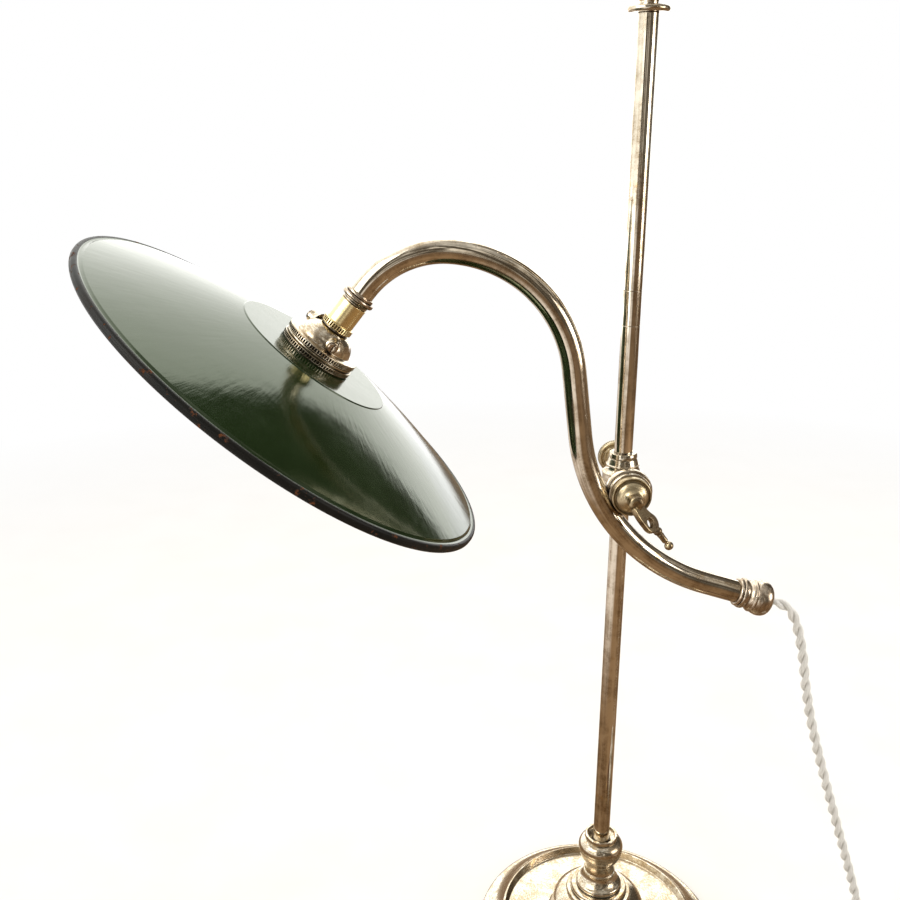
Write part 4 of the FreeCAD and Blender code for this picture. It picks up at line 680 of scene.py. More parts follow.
def bowed(first, last, bow):
    """Points along an arc from first to last, without first."""
    first, last = np.array(first, float), np.array(last, float)
    if not bow:
        return [last]
    chord = last - first
    sweep = 4 * math.atan(bow)
    left = np.array((-chord[1], chord[0]))
    centre = (first + last) / 2 + left / (2 * math.tan(sweep / 2))
    radius = np.linalg.norm(first - centre)
    count = max(LEAST_ARC_POINTS, math.ceil(abs(sweep) * radius / ARC_STEP), math.ceil(abs(sweep) / ARC_TURN))
    spoke = first - centre
    points = []
    for turn in np.linspace(0, sweep, count + 1)[1:]:
        c, s = math.cos(turn), math.sin(turn)
        points.append(centre + np.array((spoke[0] * c - spoke[1] * s, spoke[0] * s + spoke[1] * c)))
    return points


def drawn(outline, soft=0.18, closed=True):
    """The outline as plain points in millimetres, with its corners eased by a small round."""
    points = []
    for index, point in enumerate(outline):
        if index == 0 and not closed:
            points.append(np.array(point[:2], float))
            continue
        bow = point[2] if len(point) > 2 else 0
        points += bowed(outline[index - 1][:2], point[:2], bow)
    eased = []
    count = len(points)
    for index, point in enumerate(points):
        if not closed and index in (0, count - 1):
            eased.append(point)
            continue
        back, ahead = points[index - 1] - point, points[(index + 1) % count] - point
        back_length, ahead_length = np.linalg.norm(back), np.linalg.norm(ahead)
        turn = math.pi - math.acos(np.clip(back @ ahead / (back_length * ahead_length), -1, 1))
        if turn < SHARP_TURN or point[0] < ON_AXIS:
            eased.append(point)
            continue
        back = back / back_length * min(soft, back_length * EDGE_SHARE)
        ahead = ahead / ahead_length * min(soft, ahead_length * EDGE_SHARE)
        eased += [point + back * LEAD_SHARE, point + back, point + (back + ahead) * CORNER_SHARE,
                  point + ahead, point + ahead * LEAD_SHARE]
    return np.array(eased)


print("outline of a test square:", len(drawn([(1, 0), (2, 0), (2, 1), (1, 1)])), "points")

# %% Meshes from rings
def finished_mesh(name, vertices, faces, uvs, materials, finish=None):
    """A smooth mesh object from vertices in metres, with one UV pair for each corner of each face."""
    mesh = bpy.data.meshes.new(name)
    mesh.from_pydata([tuple(v) for v in vertices], [], faces)
    layer = mesh.uv_layers.new(name="along_piece")
    layer.data.foreach_set("uv", np.array(uvs, np.float32).ravel())
    for material in materials:
        mesh.materials.append(material)
    if finish is not None:
        mesh.polygons.foreach_set("material_index", np.array(finish, np.int32))
    mesh.shade_smooth()
    mesh.validate()
    made = bpy.data.objects.new(name, mesh)
    bpy.context.scene.collection.objects.link(made)
    return made


def ring_grid(rings, path, around, closed, materials, name, finish_of=None, cap=False):
    """Faces between rings of points. Path and around give the UV map's two axes in metres."""
    count, sides = rings.shape[:2]
    vertices = rings.reshape(-1, 3)
    faces, uvs, finish = [], [], []
    spans = count if closed else count - 1
    for ring in range(spans):
        following = (ring + 1) % count
        end_path = path[ring + 1] if ring + 1 < len(path) else path[-1]
        for side in range(sides):
            beside = (side + 1) % sides
            faces.append((ring * sides + side, ring * sides + beside, following * sides + beside,
                          following * sides + side))
            left, right = around * side / sides, around * (side + 1) / sides
            uvs += [(left, path[ring]), (right, path[ring]), (right, end_path), (left, end_path)]
            finish.append(finish_of(ring, side) if finish_of else 0)
    if cap:
        for ring, order in ((0, -1), (count - 1, 1)):
            faces.append(tuple(ring * sides + side for side in range(sides))[::order])
            uvs += [(0.0, path[ring])] * sides
            finish.append(finish_of(min(ring, spans - 1), 0) if finish_of else 0)
    return finished_mesh(name, vertices, faces, uvs, materials, finish)


print("meshes from rings ready")

# %% Lathe
# A tooth of a knurl takes four sides, two out and two in. Only the widest part of an outline has teeth.
KNURL_PROFILE = (0.0, 0.0, 1.0, 1.0)
OUTER_SHARE = 0.85
HAIR, LEAST_RISE, LEAST_SHARE = 0.02, 1e-9, 0.001
MERGE_DISTANCE = 0.001 * MM


def lathe(name, outline, place, materials, sides=96, soft=0.18, knurl=None, finish=None, wobble=0.0,
          second_axis=None):
    """An outline turned about its place's own Z. A knurl is (lowest, highest, teeth, depth), in mm."""
    materials = materials if isinstance(materials, list) else [materials]
    # A knurl's grooves take a dark finish of painted shade and dirt.
    if knurl and len(materials) == 1:
        materials = materials + [knurl_dirt_and_shade]
    on_axis = outline[0][0] == 0 and outline[-1][0] == 0
    points = drawn(outline, soft, closed=not on_axis)
    if knurl:
        points = cut_for_knurl(points, knurl, not on_axis)
        sides = knurl[2] * len(KNURL_PROFILE)
    steps = np.linalg.norm(np.diff(points, axis=0, append=points[:1]), axis=1)
    path = np.concatenate(([0], np.cumsum(steps))) * MM
    if second_axis:
        path = np.array([second_axis(*point) for point in (*points, points[0])]) * MM
    turns = np.arange(sides) * 2 * math.pi / sides
    radii = np.repeat(points[:, :1], sides, axis=1)
    cutting = np.zeros(len(points), bool)
    if knurl:
        radii, cutting = with_teeth(points, radii, knurl)
    toothed = cutting & np.roll(cutting, -1)
    if wobble:
        radii = radii + wobble * (np.sin(2 * turns + 1) + 0.5 * np.sin(5 * turns))[None, :]
    local = np.stack([radii * np.cos(turns), radii * np.sin(turns),
                      np.repeat(points[:, 1:2], sides, axis=1)], axis=2) * MM
    turned_to = np.array(place)
    rings = local @ turned_to[:3, :3].T + turned_to[:3, 3]
    around = 2 * math.pi * float(np.max(points[:, 0])) * MM

    def finish_of(ring, side):
        # The floor and one flank of each groove get the dark finish: painted shade, with dirt.
        if toothed[ring] and side % len(KNURL_PROFILE) in (1, 2):
            return len(materials) - 1
        return finish(*points[ring], *points[(ring + 1) % len(points)]) if finish else 0

    made = ring_grid(rings, path, around, not on_axis, materials, name, finish_of)
    spans = len(made.data.polygons) // sides
    made.data.polygons.foreach_set("use_smooth", ~np.repeat(toothed[:spans], sides))
    if on_axis:
        close_axis(made)
    outwards(made)
    return made


def with_teeth(points, radii, knurl):
    """The radii with teeth cut into them, and which of the outline's points are cut."""
    low, high, teeth, depth = knurl
    outer = points[:, 0] > points[:, 0].max() * OUTER_SHARE
    cutting = outer & (points[:, 1] > low) & (points[:, 1] < high)
    return radii - cutting[:, None] * depth * np.tile(KNURL_PROFILE, teeth)[None, :], cutting


def cut_for_knurl(points, knurl, closed):
    """Adds points just inside and outside the knurl's ends, so that its teeth end sharply."""
    low, high = knurl[:2]
    levels = [low - HAIR, low + HAIR, high - HAIR, high + HAIR]
    made = []
    count = len(points)
    for index in range(count if closed else count - 1):
        first, last = points[index], points[(index + 1) % count]
        made.append(first)
        rise = last[1] - first[1]
        if abs(rise) < LEAST_RISE:
            continue
        shares = sorted((level - first[1]) / rise for level in levels)
        inner = [share for share in shares if LEAST_SHARE < share < 1 - LEAST_SHARE]
        made += [first + (last - first) * share for share in inner]
    if not closed:
        made.append(points[-1])
    return np.array(made)


def close_axis(made):
    """Melts the rings that lie on the axis into one point each."""
    work = bmesh.new()
    work.from_mesh(made.data)
    bmesh.ops.remove_doubles(work, verts=work.verts, dist=MERGE_DISTANCE)
    work.to_mesh(made.data)
    work.free()


def outwards(made):
    """Turns all faces outwards."""
    work = bmesh.new()
    work.from_mesh(made.data)
    bmesh.ops.recalc_face_normals(work, faces=work.faces)
    work.to_mesh(made.data)
    work.free()


def dressed(made, body, slot_name, *nodes):
    """The piece rides on a body and stands for these solids, which are hidden. The slot name is not used."""
    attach(made, body)
    if nodes:
        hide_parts(*nodes)
    return made


print("lathe ready")

# %% [markdown]
# ## The base
# The base is a disc of spun brass, nickel-plated, over an iron weight. It has a stepped rim, a raised
# ridge, a sunk floor and a stepped boss. The turning leaves faint rings, which the metal's grain draws
# because it is stretched round the piece and not along it.

# %% Base and column foot
base = lathe("base_skin", [
    (71.5, 0.6), (72.5, 0.6), (72.5, 3.0, 0.2), (70.0, 4.0, 0.2), (58.65, 13.0, -0.12), (57.0, 14.0, 0.2),
    (55.35, 10.0), (42.93, 9.6), (30.5, 12.0, -0.12), (27.0, 24.0, -0.12), (19.5, 30.0, 0.2), (5.3, 30.0),
    (5.3, 29.0), (18.5, 29.0), (26.0, 23.0, -0.2), (29.5, 11.0, 0.12), (42.93, 8.6, 0.12), (56.35, 9.0),
    (57.0, 12.6), (57.65, 12.0), (69.0, 3.0, 0.12), (71.5, 2.0)],
    ON_STEM, bright_nickel, sides=192, soft=0.25)
dressed(base, "root", "nickel", "base_shell")

column = lathe("column_turning", [
    (0, 3.6), (5.0, 3.6), (5.0, 30.0), (19.5, 30.0), (19.0, 32.5, 0.2), (16.3, 32.5), (16.8, 33.0),
    (16.3, 35.5, 0.2), (12.9, 35.5), (12.9, 38.5, 0.41), (8.9, 45.5, -0.3), (9.4, 45.5), (9.4, 46.5, 0.41),
    (8.9, 46.5), (9.1, 53.5, -0.12), (13.0, 62.5, 0.2), (9.1, 69.0, 0.41), (9.4, 69.0), (9.4, 72.0, 0.2),
    (8.2, 72.0), (7.7, 70.0, -0.2), (4.85, 68.4), (4.78, 50.0), (0, 50.0)], ON_STEM, bright_nickel, sides=96)
dressed(column, "root", "nickel", "column_foot")
print("base and column made")

# %% [markdown]
# ## The stem
# The stem is two tubes on a short solid coupling, so two fine seams show above the slider. Each length
# is turned on its own with an eased end, and the seams appear as the dark lines that they are. The
# finial at the top is a turned flange with a small body over it.

# %% Stem and finial
for name, cad_node, bottom, top in (("stem_tube_lower", "stem_lower", 50.0, 381.4),
                                    ("stem_tube_upper", "stem_upper", 399.0, 526.2)):
    tube_piece = lathe(name, [(3.55, bottom), (4.75, bottom), (4.75, top), (3.55, top)], ON_STEM, tan_nickel,
                       sides=64, soft=0.22)
    dressed(tube_piece, "root", "worn_nickel", cad_node)
coupling = lathe("stem_joint", [
    (0, 369.4), (3.52, 369.4), (3.52, 381.4), (4.75, 381.4), (4.75, 399.0), (3.52, 399.0), (3.52, 411.0),
    (0, 411.0)], ON_STEM, tan_nickel, sides=64, soft=0.22)
dressed(coupling, "root", "worn_nickel", "stem_coupling")

finial = lathe("finial_turning", [
    (0, 516.2), (3.52, 516.2), (3.52, 526.2), (8.9, 526.2), (8.9, 529.0, 0.75), (4.4, 529.0),
    (4.4, 531.0, -0.12), (7.0, 536.0, 0.2), (1.9, 541.0, 0.2), (1.9, 542.75), (0.475, 544.5, 0.2),
    (0, 544.5)], ON_STEM, bright_nickel, sides=64, soft=0.12)
dressed(finial, "root", "nickel", "finial")
print("stem and finial made")

# %% [markdown]
# ## The swan-neck arm
# The arm is one bent tube: straight at the tail, a wide bend past the pivot, a straight, then two
# bends over to the lamp. It is swept along the same walk of straights and arcs that the solid follows.
# A curve with a round bevel would give the shape, but a sweep in code gives a UV map whose second axis
# is the tube's length, so that streaks run along the tube as they do after hand polishing.

# %% Walk along the arm
SADDLE_ANGLE, NECK_EASE, NECK_ANGLE, LAMP_BEND, TAIL_BEND = 211.37, 23.99, 78.89, 55.36, 41.17
SADDLE_REACH, SADDLE_RADIUS, NECK_STRAIGHT, NECK_RADIUS = 14.98, 100.98, 33.33, 66.33
LAMP_RADIUS, LAMP_STRAIGHT, TAIL_STRAIGHT = 47.47, 8.3, 32.37
WALK_STEP = 1.5


def walked(heading, steps):
    """Points in the arm's plane from the saddle, along steps of (length, 0) or (radius, degrees left)."""
    saddle = math.radians(SADDLE_ANGLE)
    x = SADDLE_REACH * math.cos(saddle)
    z = PIVOT_HEIGHT / MM + SADDLE_REACH * math.sin(saddle)
    heading = math.radians(heading)
    points = [(x, z)]
    for size, degrees in steps:
        turn = math.radians(degrees)
        length = size * abs(turn) if degrees else size
        count = math.ceil(length / WALK_STEP)
        for _ in range(count):
            heading += turn / count / 2
            chord = 2 * size * math.sin(abs(turn) / count / 2) if degrees else length / count
            x += chord * math.cos(heading)
            z += chord * math.sin(heading)
            heading += turn / count / 2
            points.append((x, z))
    return points


to_tail = walked(SADDLE_ANGLE - 270, [(SADDLE_RADIUS, TAIL_BEND), (TAIL_STRAIGHT, 0)])
to_lamp = walked(SADDLE_ANGLE - 90, [
    (SADDLE_RADIUS, -NECK_EASE), (NECK_STRAIGHT, 0), (NECK_RADIUS, NECK_ANGLE), (LAMP_RADIUS, LAMP_BEND),
    (LAMP_STRAIGHT, 0)])
ARM_LINE = [Vector((x * MM, ARM_Y, z * MM)) for x, z in list(reversed(to_lamp)) + to_tail[1:]]
print("arm line:", len(ARM_LINE), "points, tail at", tuple(round(x, 4) for x in ARM_LINE[-1]))

# %% Sweep
def carried_frames(line):
    """The line as an array, with two directions across it at each point, carried along without twist."""
    line = np.array([tuple(p) for p in line])
    tangents = np.gradient(line, axis=0)
    tangents /= np.linalg.norm(tangents, axis=1)[:, None]
    start = np.cross(tangents[0], (0.0, 1.0, 0.0))
    across = [start / np.linalg.norm(start)]
    for tangent in tangents[1:]:
        side = across[-1] - tangent * (across[-1] @ tangent)
        across.append(side / np.linalg.norm(side))
    across = np.array(across)
    return line, across, np.cross(tangents, across)


def lengths_along(line):
    """The length run at each point of a line."""
    return np.concatenate(([0], np.cumsum(np.linalg.norm(np.diff(np.array(line), axis=0), axis=1))))


def round_rings(line, radius, sides):
    """Rings of points round a line, as an array of rings, sides and coordinates."""
    line, across, beside = carried_frames(line)
    turns = np.arange(sides) * 2 * math.pi / sides
    radius = np.broadcast_to(radius, (len(line),))[:, None, None]
    spokes = (across[:, None, :] * np.cos(turns)[None, :, None]
              + beside[:, None, :] * np.sin(turns)[None, :, None])
    return line[:, None, :] + spokes * radius


def hollow_tube(name, line, outer, inner, material, sides):
    """A tube with an outside, a bore and two end faces."""
    outside, bore = round_rings(line, outer, sides), round_rings(line, inner, sides)
    rings = np.concatenate((outside, bore[::-1]))
    path = lengths_along([tuple(p) for p in line])
    path = np.concatenate((path, path[::-1], path[:1]))
    made = ring_grid(rings, path, 2 * math.pi * outer, True, [material], name)
    outwards(made)
    return made


ARM_RADIUS, ARM_BORE, ARM_SIDES = 6.0 * MM, 4.9 * MM, 48
arm = hollow_tube("arm_bent_tube", ARM_LINE, ARM_RADIUS, ARM_BORE, tan_nickel, ARM_SIDES)
dressed(arm, "arm", "worn_nickel", "arm_tube")
print("arm:", len(arm.data.vertices), "vertices")

# %% [markdown]
# ## More ways to shape a piece
# A lathe can't make a flat plate with a hole, a slot across a screw or a boss on a dome's flank. A
# plate is a filled curve with a bevel, which rounds its edges for nothing. A slot is cut with a
# boolean whose result is kept as a plain mesh. Several shells that belong to one casting are united.

# %% Plates, cuts and unions
def kept_mesh(made, name):
    """The object's mesh as its modifiers leave it, as a new object."""
    seen = made.evaluated_get(bpy.context.evaluated_depsgraph_get())
    mesh = bpy.data.meshes.new_from_object(seen)
    mesh.name = name
    bpy.data.objects.remove(made)
    kept = bpy.data.objects.new(name, mesh)
    bpy.context.scene.collection.objects.link(kept)
    return kept


def plate(name, outlines, thickness, edge, place, material):
    """A flat plate from closed outlines in millimetres, the first its edge and the others its holes."""
    data = bpy.data.curves.new(name, "CURVE")
    data.dimensions = "2D"
    data.fill_mode = "BOTH"
    data.extrude = (thickness / 2 - edge) * MM
    data.bevel_depth = edge * MM
    data.offset = -edge * MM
    data.bevel_resolution = 3
    for outline in outlines:
        spline = data.splines.new("POLY")
        spline.points.add(len(outline) - 1)
        for control, point in zip(spline.points, outline):
            control.co = (point[0] * MM, point[1] * MM, 0, 1)
        spline.use_cyclic_u = True
    drawn_curve = bpy.data.objects.new(name, data)
    bpy.context.scene.collection.objects.link(drawn_curve)
    made = kept_mesh(drawn_curve, name)
    made.data.transform(place)
    made.data.materials.clear()
    made.data.materials.append(material)
    return made


def cut_away(made, size, place):
    """The piece with a block of this size in millimetres taken out of it."""
    mesh = bpy.data.meshes.new("cutter")
    work = bmesh.new()
    bmesh.ops.create_cube(work, size=1.0)
    work.to_mesh(mesh)
    work.free()
    mesh.transform(place @ Matrix.Diagonal((*(Vector(size) * MM), 1)))
    cutter = bpy.data.objects.new("cutter", mesh)
    bpy.context.scene.collection.objects.link(cutter)
    boolean = made.modifiers.new("slot", "BOOLEAN")
    boolean.operation, boolean.solver, boolean.object = "DIFFERENCE", "EXACT", cutter
    kept = kept_mesh(made, made.name)
    bpy.data.objects.remove(cutter)
    bpy.data.meshes.remove(mesh)
    return kept


def united(name, parts):
    """Several pieces as one object."""
    work = bmesh.new()
    for part in parts:
        work.from_mesh(part.data)
    mesh = parts[0].data.copy()
    work.to_mesh(mesh)
    work.free()
    for part in parts:
        old = part.data
        bpy.data.objects.remove(part)
        bpy.data.meshes.remove(old)
    mesh.name = name
    made = bpy.data.objects.new(name, mesh)
    bpy.context.scene.collection.objects.link(made)
    return made


def ring_of(radius, centre, sides):
    """Points round a circle."""
    return [(centre[0] + radius * math.cos(turn), centre[1] + radius * math.sin(turn))
            for turn in np.linspace(0, 2 * math.pi, sides, endpoint=False)]


print("plates, cuts and unions ready")

# %% [markdown]
# ## The shade
# The shade is a flat cone spun from thin steel, with a flat crown that the holder's rings grip and a
# rolled rim. Its mesh is one closed skin with three finishes: green outside, white inside, and the
# dark rolled edge. The UV map's second axis is the distance in from the rim, which drives the chips.
# The cone is a hair out of round, because a perfect cone mirrors a room in a way that looks drawn.

# %% Shade
RIM_RADIUS, BEAD, CROWN_RADIUS, CROWN_TOP, CROWN_STEP, SHADE_WALL = 113.8, 1.6, 41.0, 21.7, 0.5, 1.1
CONE_TOP = CROWN_TOP - CROWN_STEP
RING_BORE = 14.1


def shade_finish(radius, height, next_radius, next_height):
    """Which of the shade's finishes a span of its outline has: 0 outside, 1 inside and 2 on the rim."""
    middle, level = (radius + next_radius) / 2, (height + next_height) / 2
    if middle > RIM_RADIUS - BEAD * 0.9 and level < BEAD or middle > RIM_RADIUS - BEAD / 3:
        return 2
    share = max(middle - CROWN_RADIUS, 0) / (RIM_RADIUS - CROWN_RADIUS)
    heart = CONE_TOP - SHADE_WALL / 2 + (BEAD / 2 - CONE_TOP + SHADE_WALL) * share
    return 0 if level > heart else 1


shade = lathe("shade_skin", [
    (RING_BORE, CROWN_TOP - SHADE_WALL), (CROWN_RADIUS - SHADE_WALL, CROWN_TOP - SHADE_WALL),
    (CROWN_RADIUS, CONE_TOP - SHADE_WALL), (RIM_RADIUS - BEAD, BEAD / 2, -0.03),
    (RIM_RADIUS - BEAD, -BEAD, 0.75), (RIM_RADIUS + BEAD, BEAD / 4, 0.75),
    (RIM_RADIUS - 0.6, BEAD + SHADE_WALL / 2, 0.6), (RIM_RADIUS - 1.5, 2.0, -0.1),
    (RIM_RADIUS - 2.8, 2.85, -0.1), (CROWN_RADIUS, CONE_TOP, 0.03),
    (CROWN_RADIUS - CROWN_STEP, CROWN_TOP, 0.2), (RING_BORE, CROWN_TOP)],
    ON_LAMP, [green_enamel, white_enamel, rim_enamel], sides=256, soft=0.3, finish=shade_finish, wobble=0.1,
    second_axis=lambda radius, height: RIM_RADIUS + BEAD - radius)
dressed(shade, "arm", "enamel", "shade")
print("shade:", len(shade.data.polygons), "faces")

# %% [markdown]
# ## The lamp holder
# Reading up from the shade: a knurled ring, a smooth bright ring, the knurled flange of the dome, the
# dome with its two grip screws, a brass sleeve with a coarse knurl, and the collar on the arm's end.
# The knurls are cut in the geometry, four sides to a tooth, because a bump can't change how a row of
# teeth breaks up a highlight at its edge.

# %% Rings and dome
RING_TEETH, RING_DEPTH = 84, 0.45
lower_ring = lathe("shade_ring_knurled", [
    (14.03, 21.7), (18.3, 21.7), (18.3, 22.2), (19.0, 22.3), (19.0, 24.35), (18.6, 24.5), (14.03, 24.5)],
    ON_LAMP, bright_nickel, soft=0.1, knurl=(22.4, 24.2, RING_TEETH, RING_DEPTH))
dressed(lower_ring, "arm", "nickel", "shade_ring_lower")
upper_ring = lathe("shade_ring_smooth", [
    (14.03, 24.5), (17.6, 24.5), (17.6, 24.75), (18.3, 24.85), (18.3, 25.9, 0.3), (17.5, 26.1),
    (14.03, 26.1)], ON_LAMP, bright_nickel, sides=160, soft=0.1)
dressed(upper_ring, "arm", "nickel", "shade_ring_upper")
dome = lathe("dome_turning", [
    (14.05, 26.2), (18.6, 26.2), (19.0, 26.5), (19.0, 28.5), (18.6, 28.9, 0.3), (14.8, 29.2),
    (14.2, 29.6, -0.3), (11.9, 34.2, 0.12), (6.6, 37.5, 0.2), (6.6, 38.3), (5.05, 38.3), (5.05, 36.0),
    (12.7, 29.6, -0.2), (12.7, 28.3), (14.05, 28.3)],
    ON_LAMP, bright_nickel, soft=0.12, knurl=(26.6, 28.4, RING_TEETH, RING_DEPTH))
print("rings and dome made")

# %% Bosses and grip screws
GRIPS = ((-75.0, 32.0, 14.2), (144.0, 34.0, 15.6))
SCREW_HEAD, SCREW_SLOT = 1.25, (9.0, 0.6, 1.2)


def radial_place(angle, height):
    """A place on the holder whose own Z points out at an angle in degrees."""
    across = Matrix.Rotation(math.radians(angle), 4, "Z") @ Matrix.Rotation(QUARTER, 4, "Y")
    return ON_LAMP @ Matrix.Translation((0, 0, height * MM)) @ across


bosses, heads = [], []
for angle, height, reach in GRIPS:
    place = radial_place(angle, height)
    bosses.append(lathe("boss", [
        (0, 9.5), (5.2, 9.5), (3.5, 12.6, -0.25), (3.0, 13.4), (3.0, reach - 0.3), (2.7, reach), (0, reach)],
        place, bright_nickel, sides=48, soft=0.15))
    screw = lathe("grip_screw", [
        (0, 8.4), (1.5, 8.4), (1.5, reach), (2.1, reach + 0.1), (2.35, reach + 0.3), (2.35, reach + 0.9),
        (2.0, reach + 1.2), (0, reach + SCREW_HEAD)],
        place, worn_turning, soft=0.05, knurl=(reach + 0.35, reach + 0.85, 18, 0.22))
    top = Matrix.Translation((0, 0, (reach + SCREW_HEAD) * MM))
    heads.append(cut_away(screw, SCREW_SLOT, place @ top))
dressed(united("dome_with_bosses", [dome, *bosses]), "arm", "nickel", "holder_dome")
dressed(united("grip_screw_pair", heads), "arm", "nickel", "grip_screws")
print("bosses and screws made:", len(GRIPS))

# %% Sleeve and collar
# The sleeve's knurl grooves take a darker brass: painted shade and dirt.
sleeve = lathe("brass_sleeve", [
    (3.4, 34.5), (5.0, 34.5), (5.0, 38.35), (7.7, 38.35), (8.0, 38.6), (8.0, 41.1), (7.7, 41.4), (6.8, 41.4),
    (6.8, 53.0), (4.9, 53.0), (4.9, 45.0), (3.4, 45.0)],
    ON_LAMP, [yellow_brass, brass_dirt_and_shade], soft=0.15, knurl=(38.7, 41.0, 36, 0.5))
dressed(sleeve, "arm", "brass", "holder_sleeve")
collar = lathe("arm_collar_turning", [
    (6.03, 53.05), (6.3, 53.05), (6.6, 53.4), (6.9, 54.6, -0.1), (6.9, 55.1), (8.0, 55.1), (8.0, 57.2, 0.41),
    (6.7, 57.2), (6.9, 57.4), (6.7, 58.9, 0.35), (6.1, 59.1), (6.03, 59.1)],
    ON_LAMP, worn_turning, soft=0.08)
dressed(collar, "arm", "worn_nickel", "arm_collar")
nut = lathe("shade_nut_knurled", [
    (14.03, 16.6), (17.5, 16.6), (18.0, 17.1), (18.0, 20.1), (17.5, 20.6), (14.03, 20.6)],
    ON_LAMP, old_brass, soft=0.1, knurl=(17.2, 20.0, 72, 0.4))
dressed(nut, "arm", "brass", "shade_nut")
print("sleeve, collar and nut made")

# %% [markdown]
# ## The arm's tail
# Two rings grip the tube's tail, then comes a bell-shaped ball with a fine ring behind it and a small
# lipped bush for the flex. Each is turned on its own, as the seams between them show.

# %% Tail pieces
tail_collar = lathe("tail_rings", [
    (6.03, -14.0), (6.7, -14.0), (7.5, -13.3, 0.3), (7.5, -12.8), (7.0, -12.6), (7.0, -12.3), (7.7, -12.1),
    (8.1, -10.6, 0.25), (7.6, -9.2, 0.25), (6.5, -9.0), (6.5, -8.2), (6.03, -8.2)],
    ON_TAIL, worn_turning, soft=0.08)
dressed(tail_collar, "arm", "worn_nickel", "tail_collar")
ball = lathe("tail_bell", [
    (6.03, -8.2), (6.5, -8.2), (7.0, -7.6), (8.1, -5.9, 0.1), (8.5, -5.7), (8.5, -4.6, 0.41), (8.2, -4.4),
    (9.5, -0.6, 0.12), (9.1, 2.4, 0.12), (6.6, 4.9, 0.2), (3.43, 4.9), (3.43, 0.03), (6.03, 0.03)],
    ON_TAIL, worn_turning, soft=0.1)
dressed(ball, "arm", "worn_nickel", "tail_ball")
bush = lathe("outlet_bush", [
    (2.8, 0.1), (3.4, 0.1), (3.4, 4.9), (4.8, 4.9), (4.5, 5.5, 0.3), (3.0, 5.5), (2.8, 5.2)],
    ON_TAIL, worn_turning, sides=64, soft=0.08)
dressed(bush, "arm", "worn_nickel", "tail_bush")
print("tail made")

# %% [markdown]
# ## The slider and its lock
# A bush with two end rings slides on the stem. The slider turns on it: a waisted barrel crossed by a
# wide boss in front, for the pivot, and a narrow one behind, for the locking knob. A knurled knob
# behind the stem presses a pad against the bush to hold the slider at a height.

# %% Slider pieces
barrel = lathe("slider_barrel", [
    (5.95, -13.1), (6.9, -13.1), (7.2, -12.8), (8.2, -9.8), (8.6, -9.7), (8.6, -9.0, 0.41), (8.3, -8.9),
    (10.3, -5.6, -0.25), (10.6, -5.5), (10.6, -4.9), (10.3, -4.8), (10.3, 4.8), (10.6, 4.9), (10.6, 5.5),
    (10.3, 5.6), (8.3, 8.9, -0.25), (8.6, 9.0), (8.6, 9.7, 0.41), (8.2, 9.8), (7.2, 12.8), (6.9, 13.1),
    (5.95, 13.1)], ON_SLIDER, bright_nickel, soft=0.12)
front_boss = lathe("front_boss", [
    (3.03, 6.2), (9.0, 6.2), (9.0, 11.6), (8.7, 11.8), (8.7, 12.1), (9.0, 12.3), (9.0, 12.7), (8.7, 13.0),
    (3.03, 13.0)], ON_PIVOT, bright_nickel, soft=0.12)
rear_boss = lathe("rear_boss", [
    (2.55, 6.2), (5.4, 6.2), (5.4, 8.6), (4.6, 9.6, -0.3), (4.6, 12.6), (4.3, 13.0), (2.55, 13.0)],
    ON_KNOB, bright_nickel, sides=64, soft=0.12)
dressed(united("slider_casting", [barrel, front_boss, rear_boss]), "slider", "nickel", "slider_body")
top_ring = lathe("bush_top_ring", [
    (5.93, 13.2), (7.2, 13.2), (7.4, 13.5), (7.1, 15.6, 0.06), (6.8, 16.0, 0.3), (5.93, 16.0)],
    ON_SLIDER, bright_nickel, soft=0.1)
dressed(top_ring, "bush", "nickel", "bush_ring")
knob = lathe("lock_knob_turning", [
    (0, 7.56), (2.5, 7.56), (2.5, 13.1), (3.6, 13.1), (3.6, 17.6), (4.6, 18.4, -0.3), (6.0, 18.5),
    (6.4, 19.1), (7.0, 19.1), (7.5, 18.6), (8.4, 18.7, 0.2), (9.0, 19.8, 0.2), (9.0, 22.0), (8.0, 23.0, 0.2),
    (7.0, 22.2), (1.0, 24.6, 0.2), (0, 24.6)],
    ON_KNOB, old_brass, soft=0.1, knurl=(19.9, 21.9, 54, 0.35))
dressed(knob, "knob", "brass", "lock_knob")
print("slider, ring and knob made")

# %% [markdown]
# ## The pivot and its key
# The arm's drum turns on a spindle in front of the slider, between a fibre washer and a sprung cap.
# A pierced key screws down on the cap: a threaded boss, a flat web with an eye, and a stalk with a
# bead and a ball. The drum has two plated rings and a brassy face, so its skin has two finishes.

# %% Drum and cap
FACE_FROM = 22.15
drum = lathe("drum_turning", [
    (3.05, 14.0), (10.3, 14.0), (10.6, 14.3), (10.6, 15.4), (11.8, 15.5), (12.1, 16.0, 0.2), (12.1, 18.4),
    (11.8, 18.9, 0.2), (10.7, 19.1), (10.7, 19.8), (11.1, 20.0), (11.1, 21.8), (10.8, 22.1), (10.0, 22.2),
    (10.0, 22.8), (10.2, 23.0), (10.2, 25.3), (9.7, 26.0, 0.3), (9.3, 25.8), (8.7, 25.1, -0.2), (8.0, 25.1),
    (7.8, 26.0), (6.7, 26.0), (6.7, 24.75), (3.05, 24.75)],
    ON_PIVOT, [bright_nickel, old_brass], sides=128, soft=0.1,
    finish=lambda radius, height, next_radius, next_height: int(height > FACE_FROM))
dressed(drum, "arm", "nickel", "arm_drum")
cap = lathe("pivot_cap_turning", [
    (3.05, 26.05), (7.5, 26.05), (7.9, 26.4, 0.3), (7.7, 26.9, 0.3), (5.4, 28.5, 0.12), (3.7, 30.1, -0.15),
    (3.5, 30.6), (3.05, 30.6)], ON_PIVOT, old_brass, sides=96, soft=0.08)
dressed(cap, "slider", "brass", "pivot_cap")
print("drum and cap made")

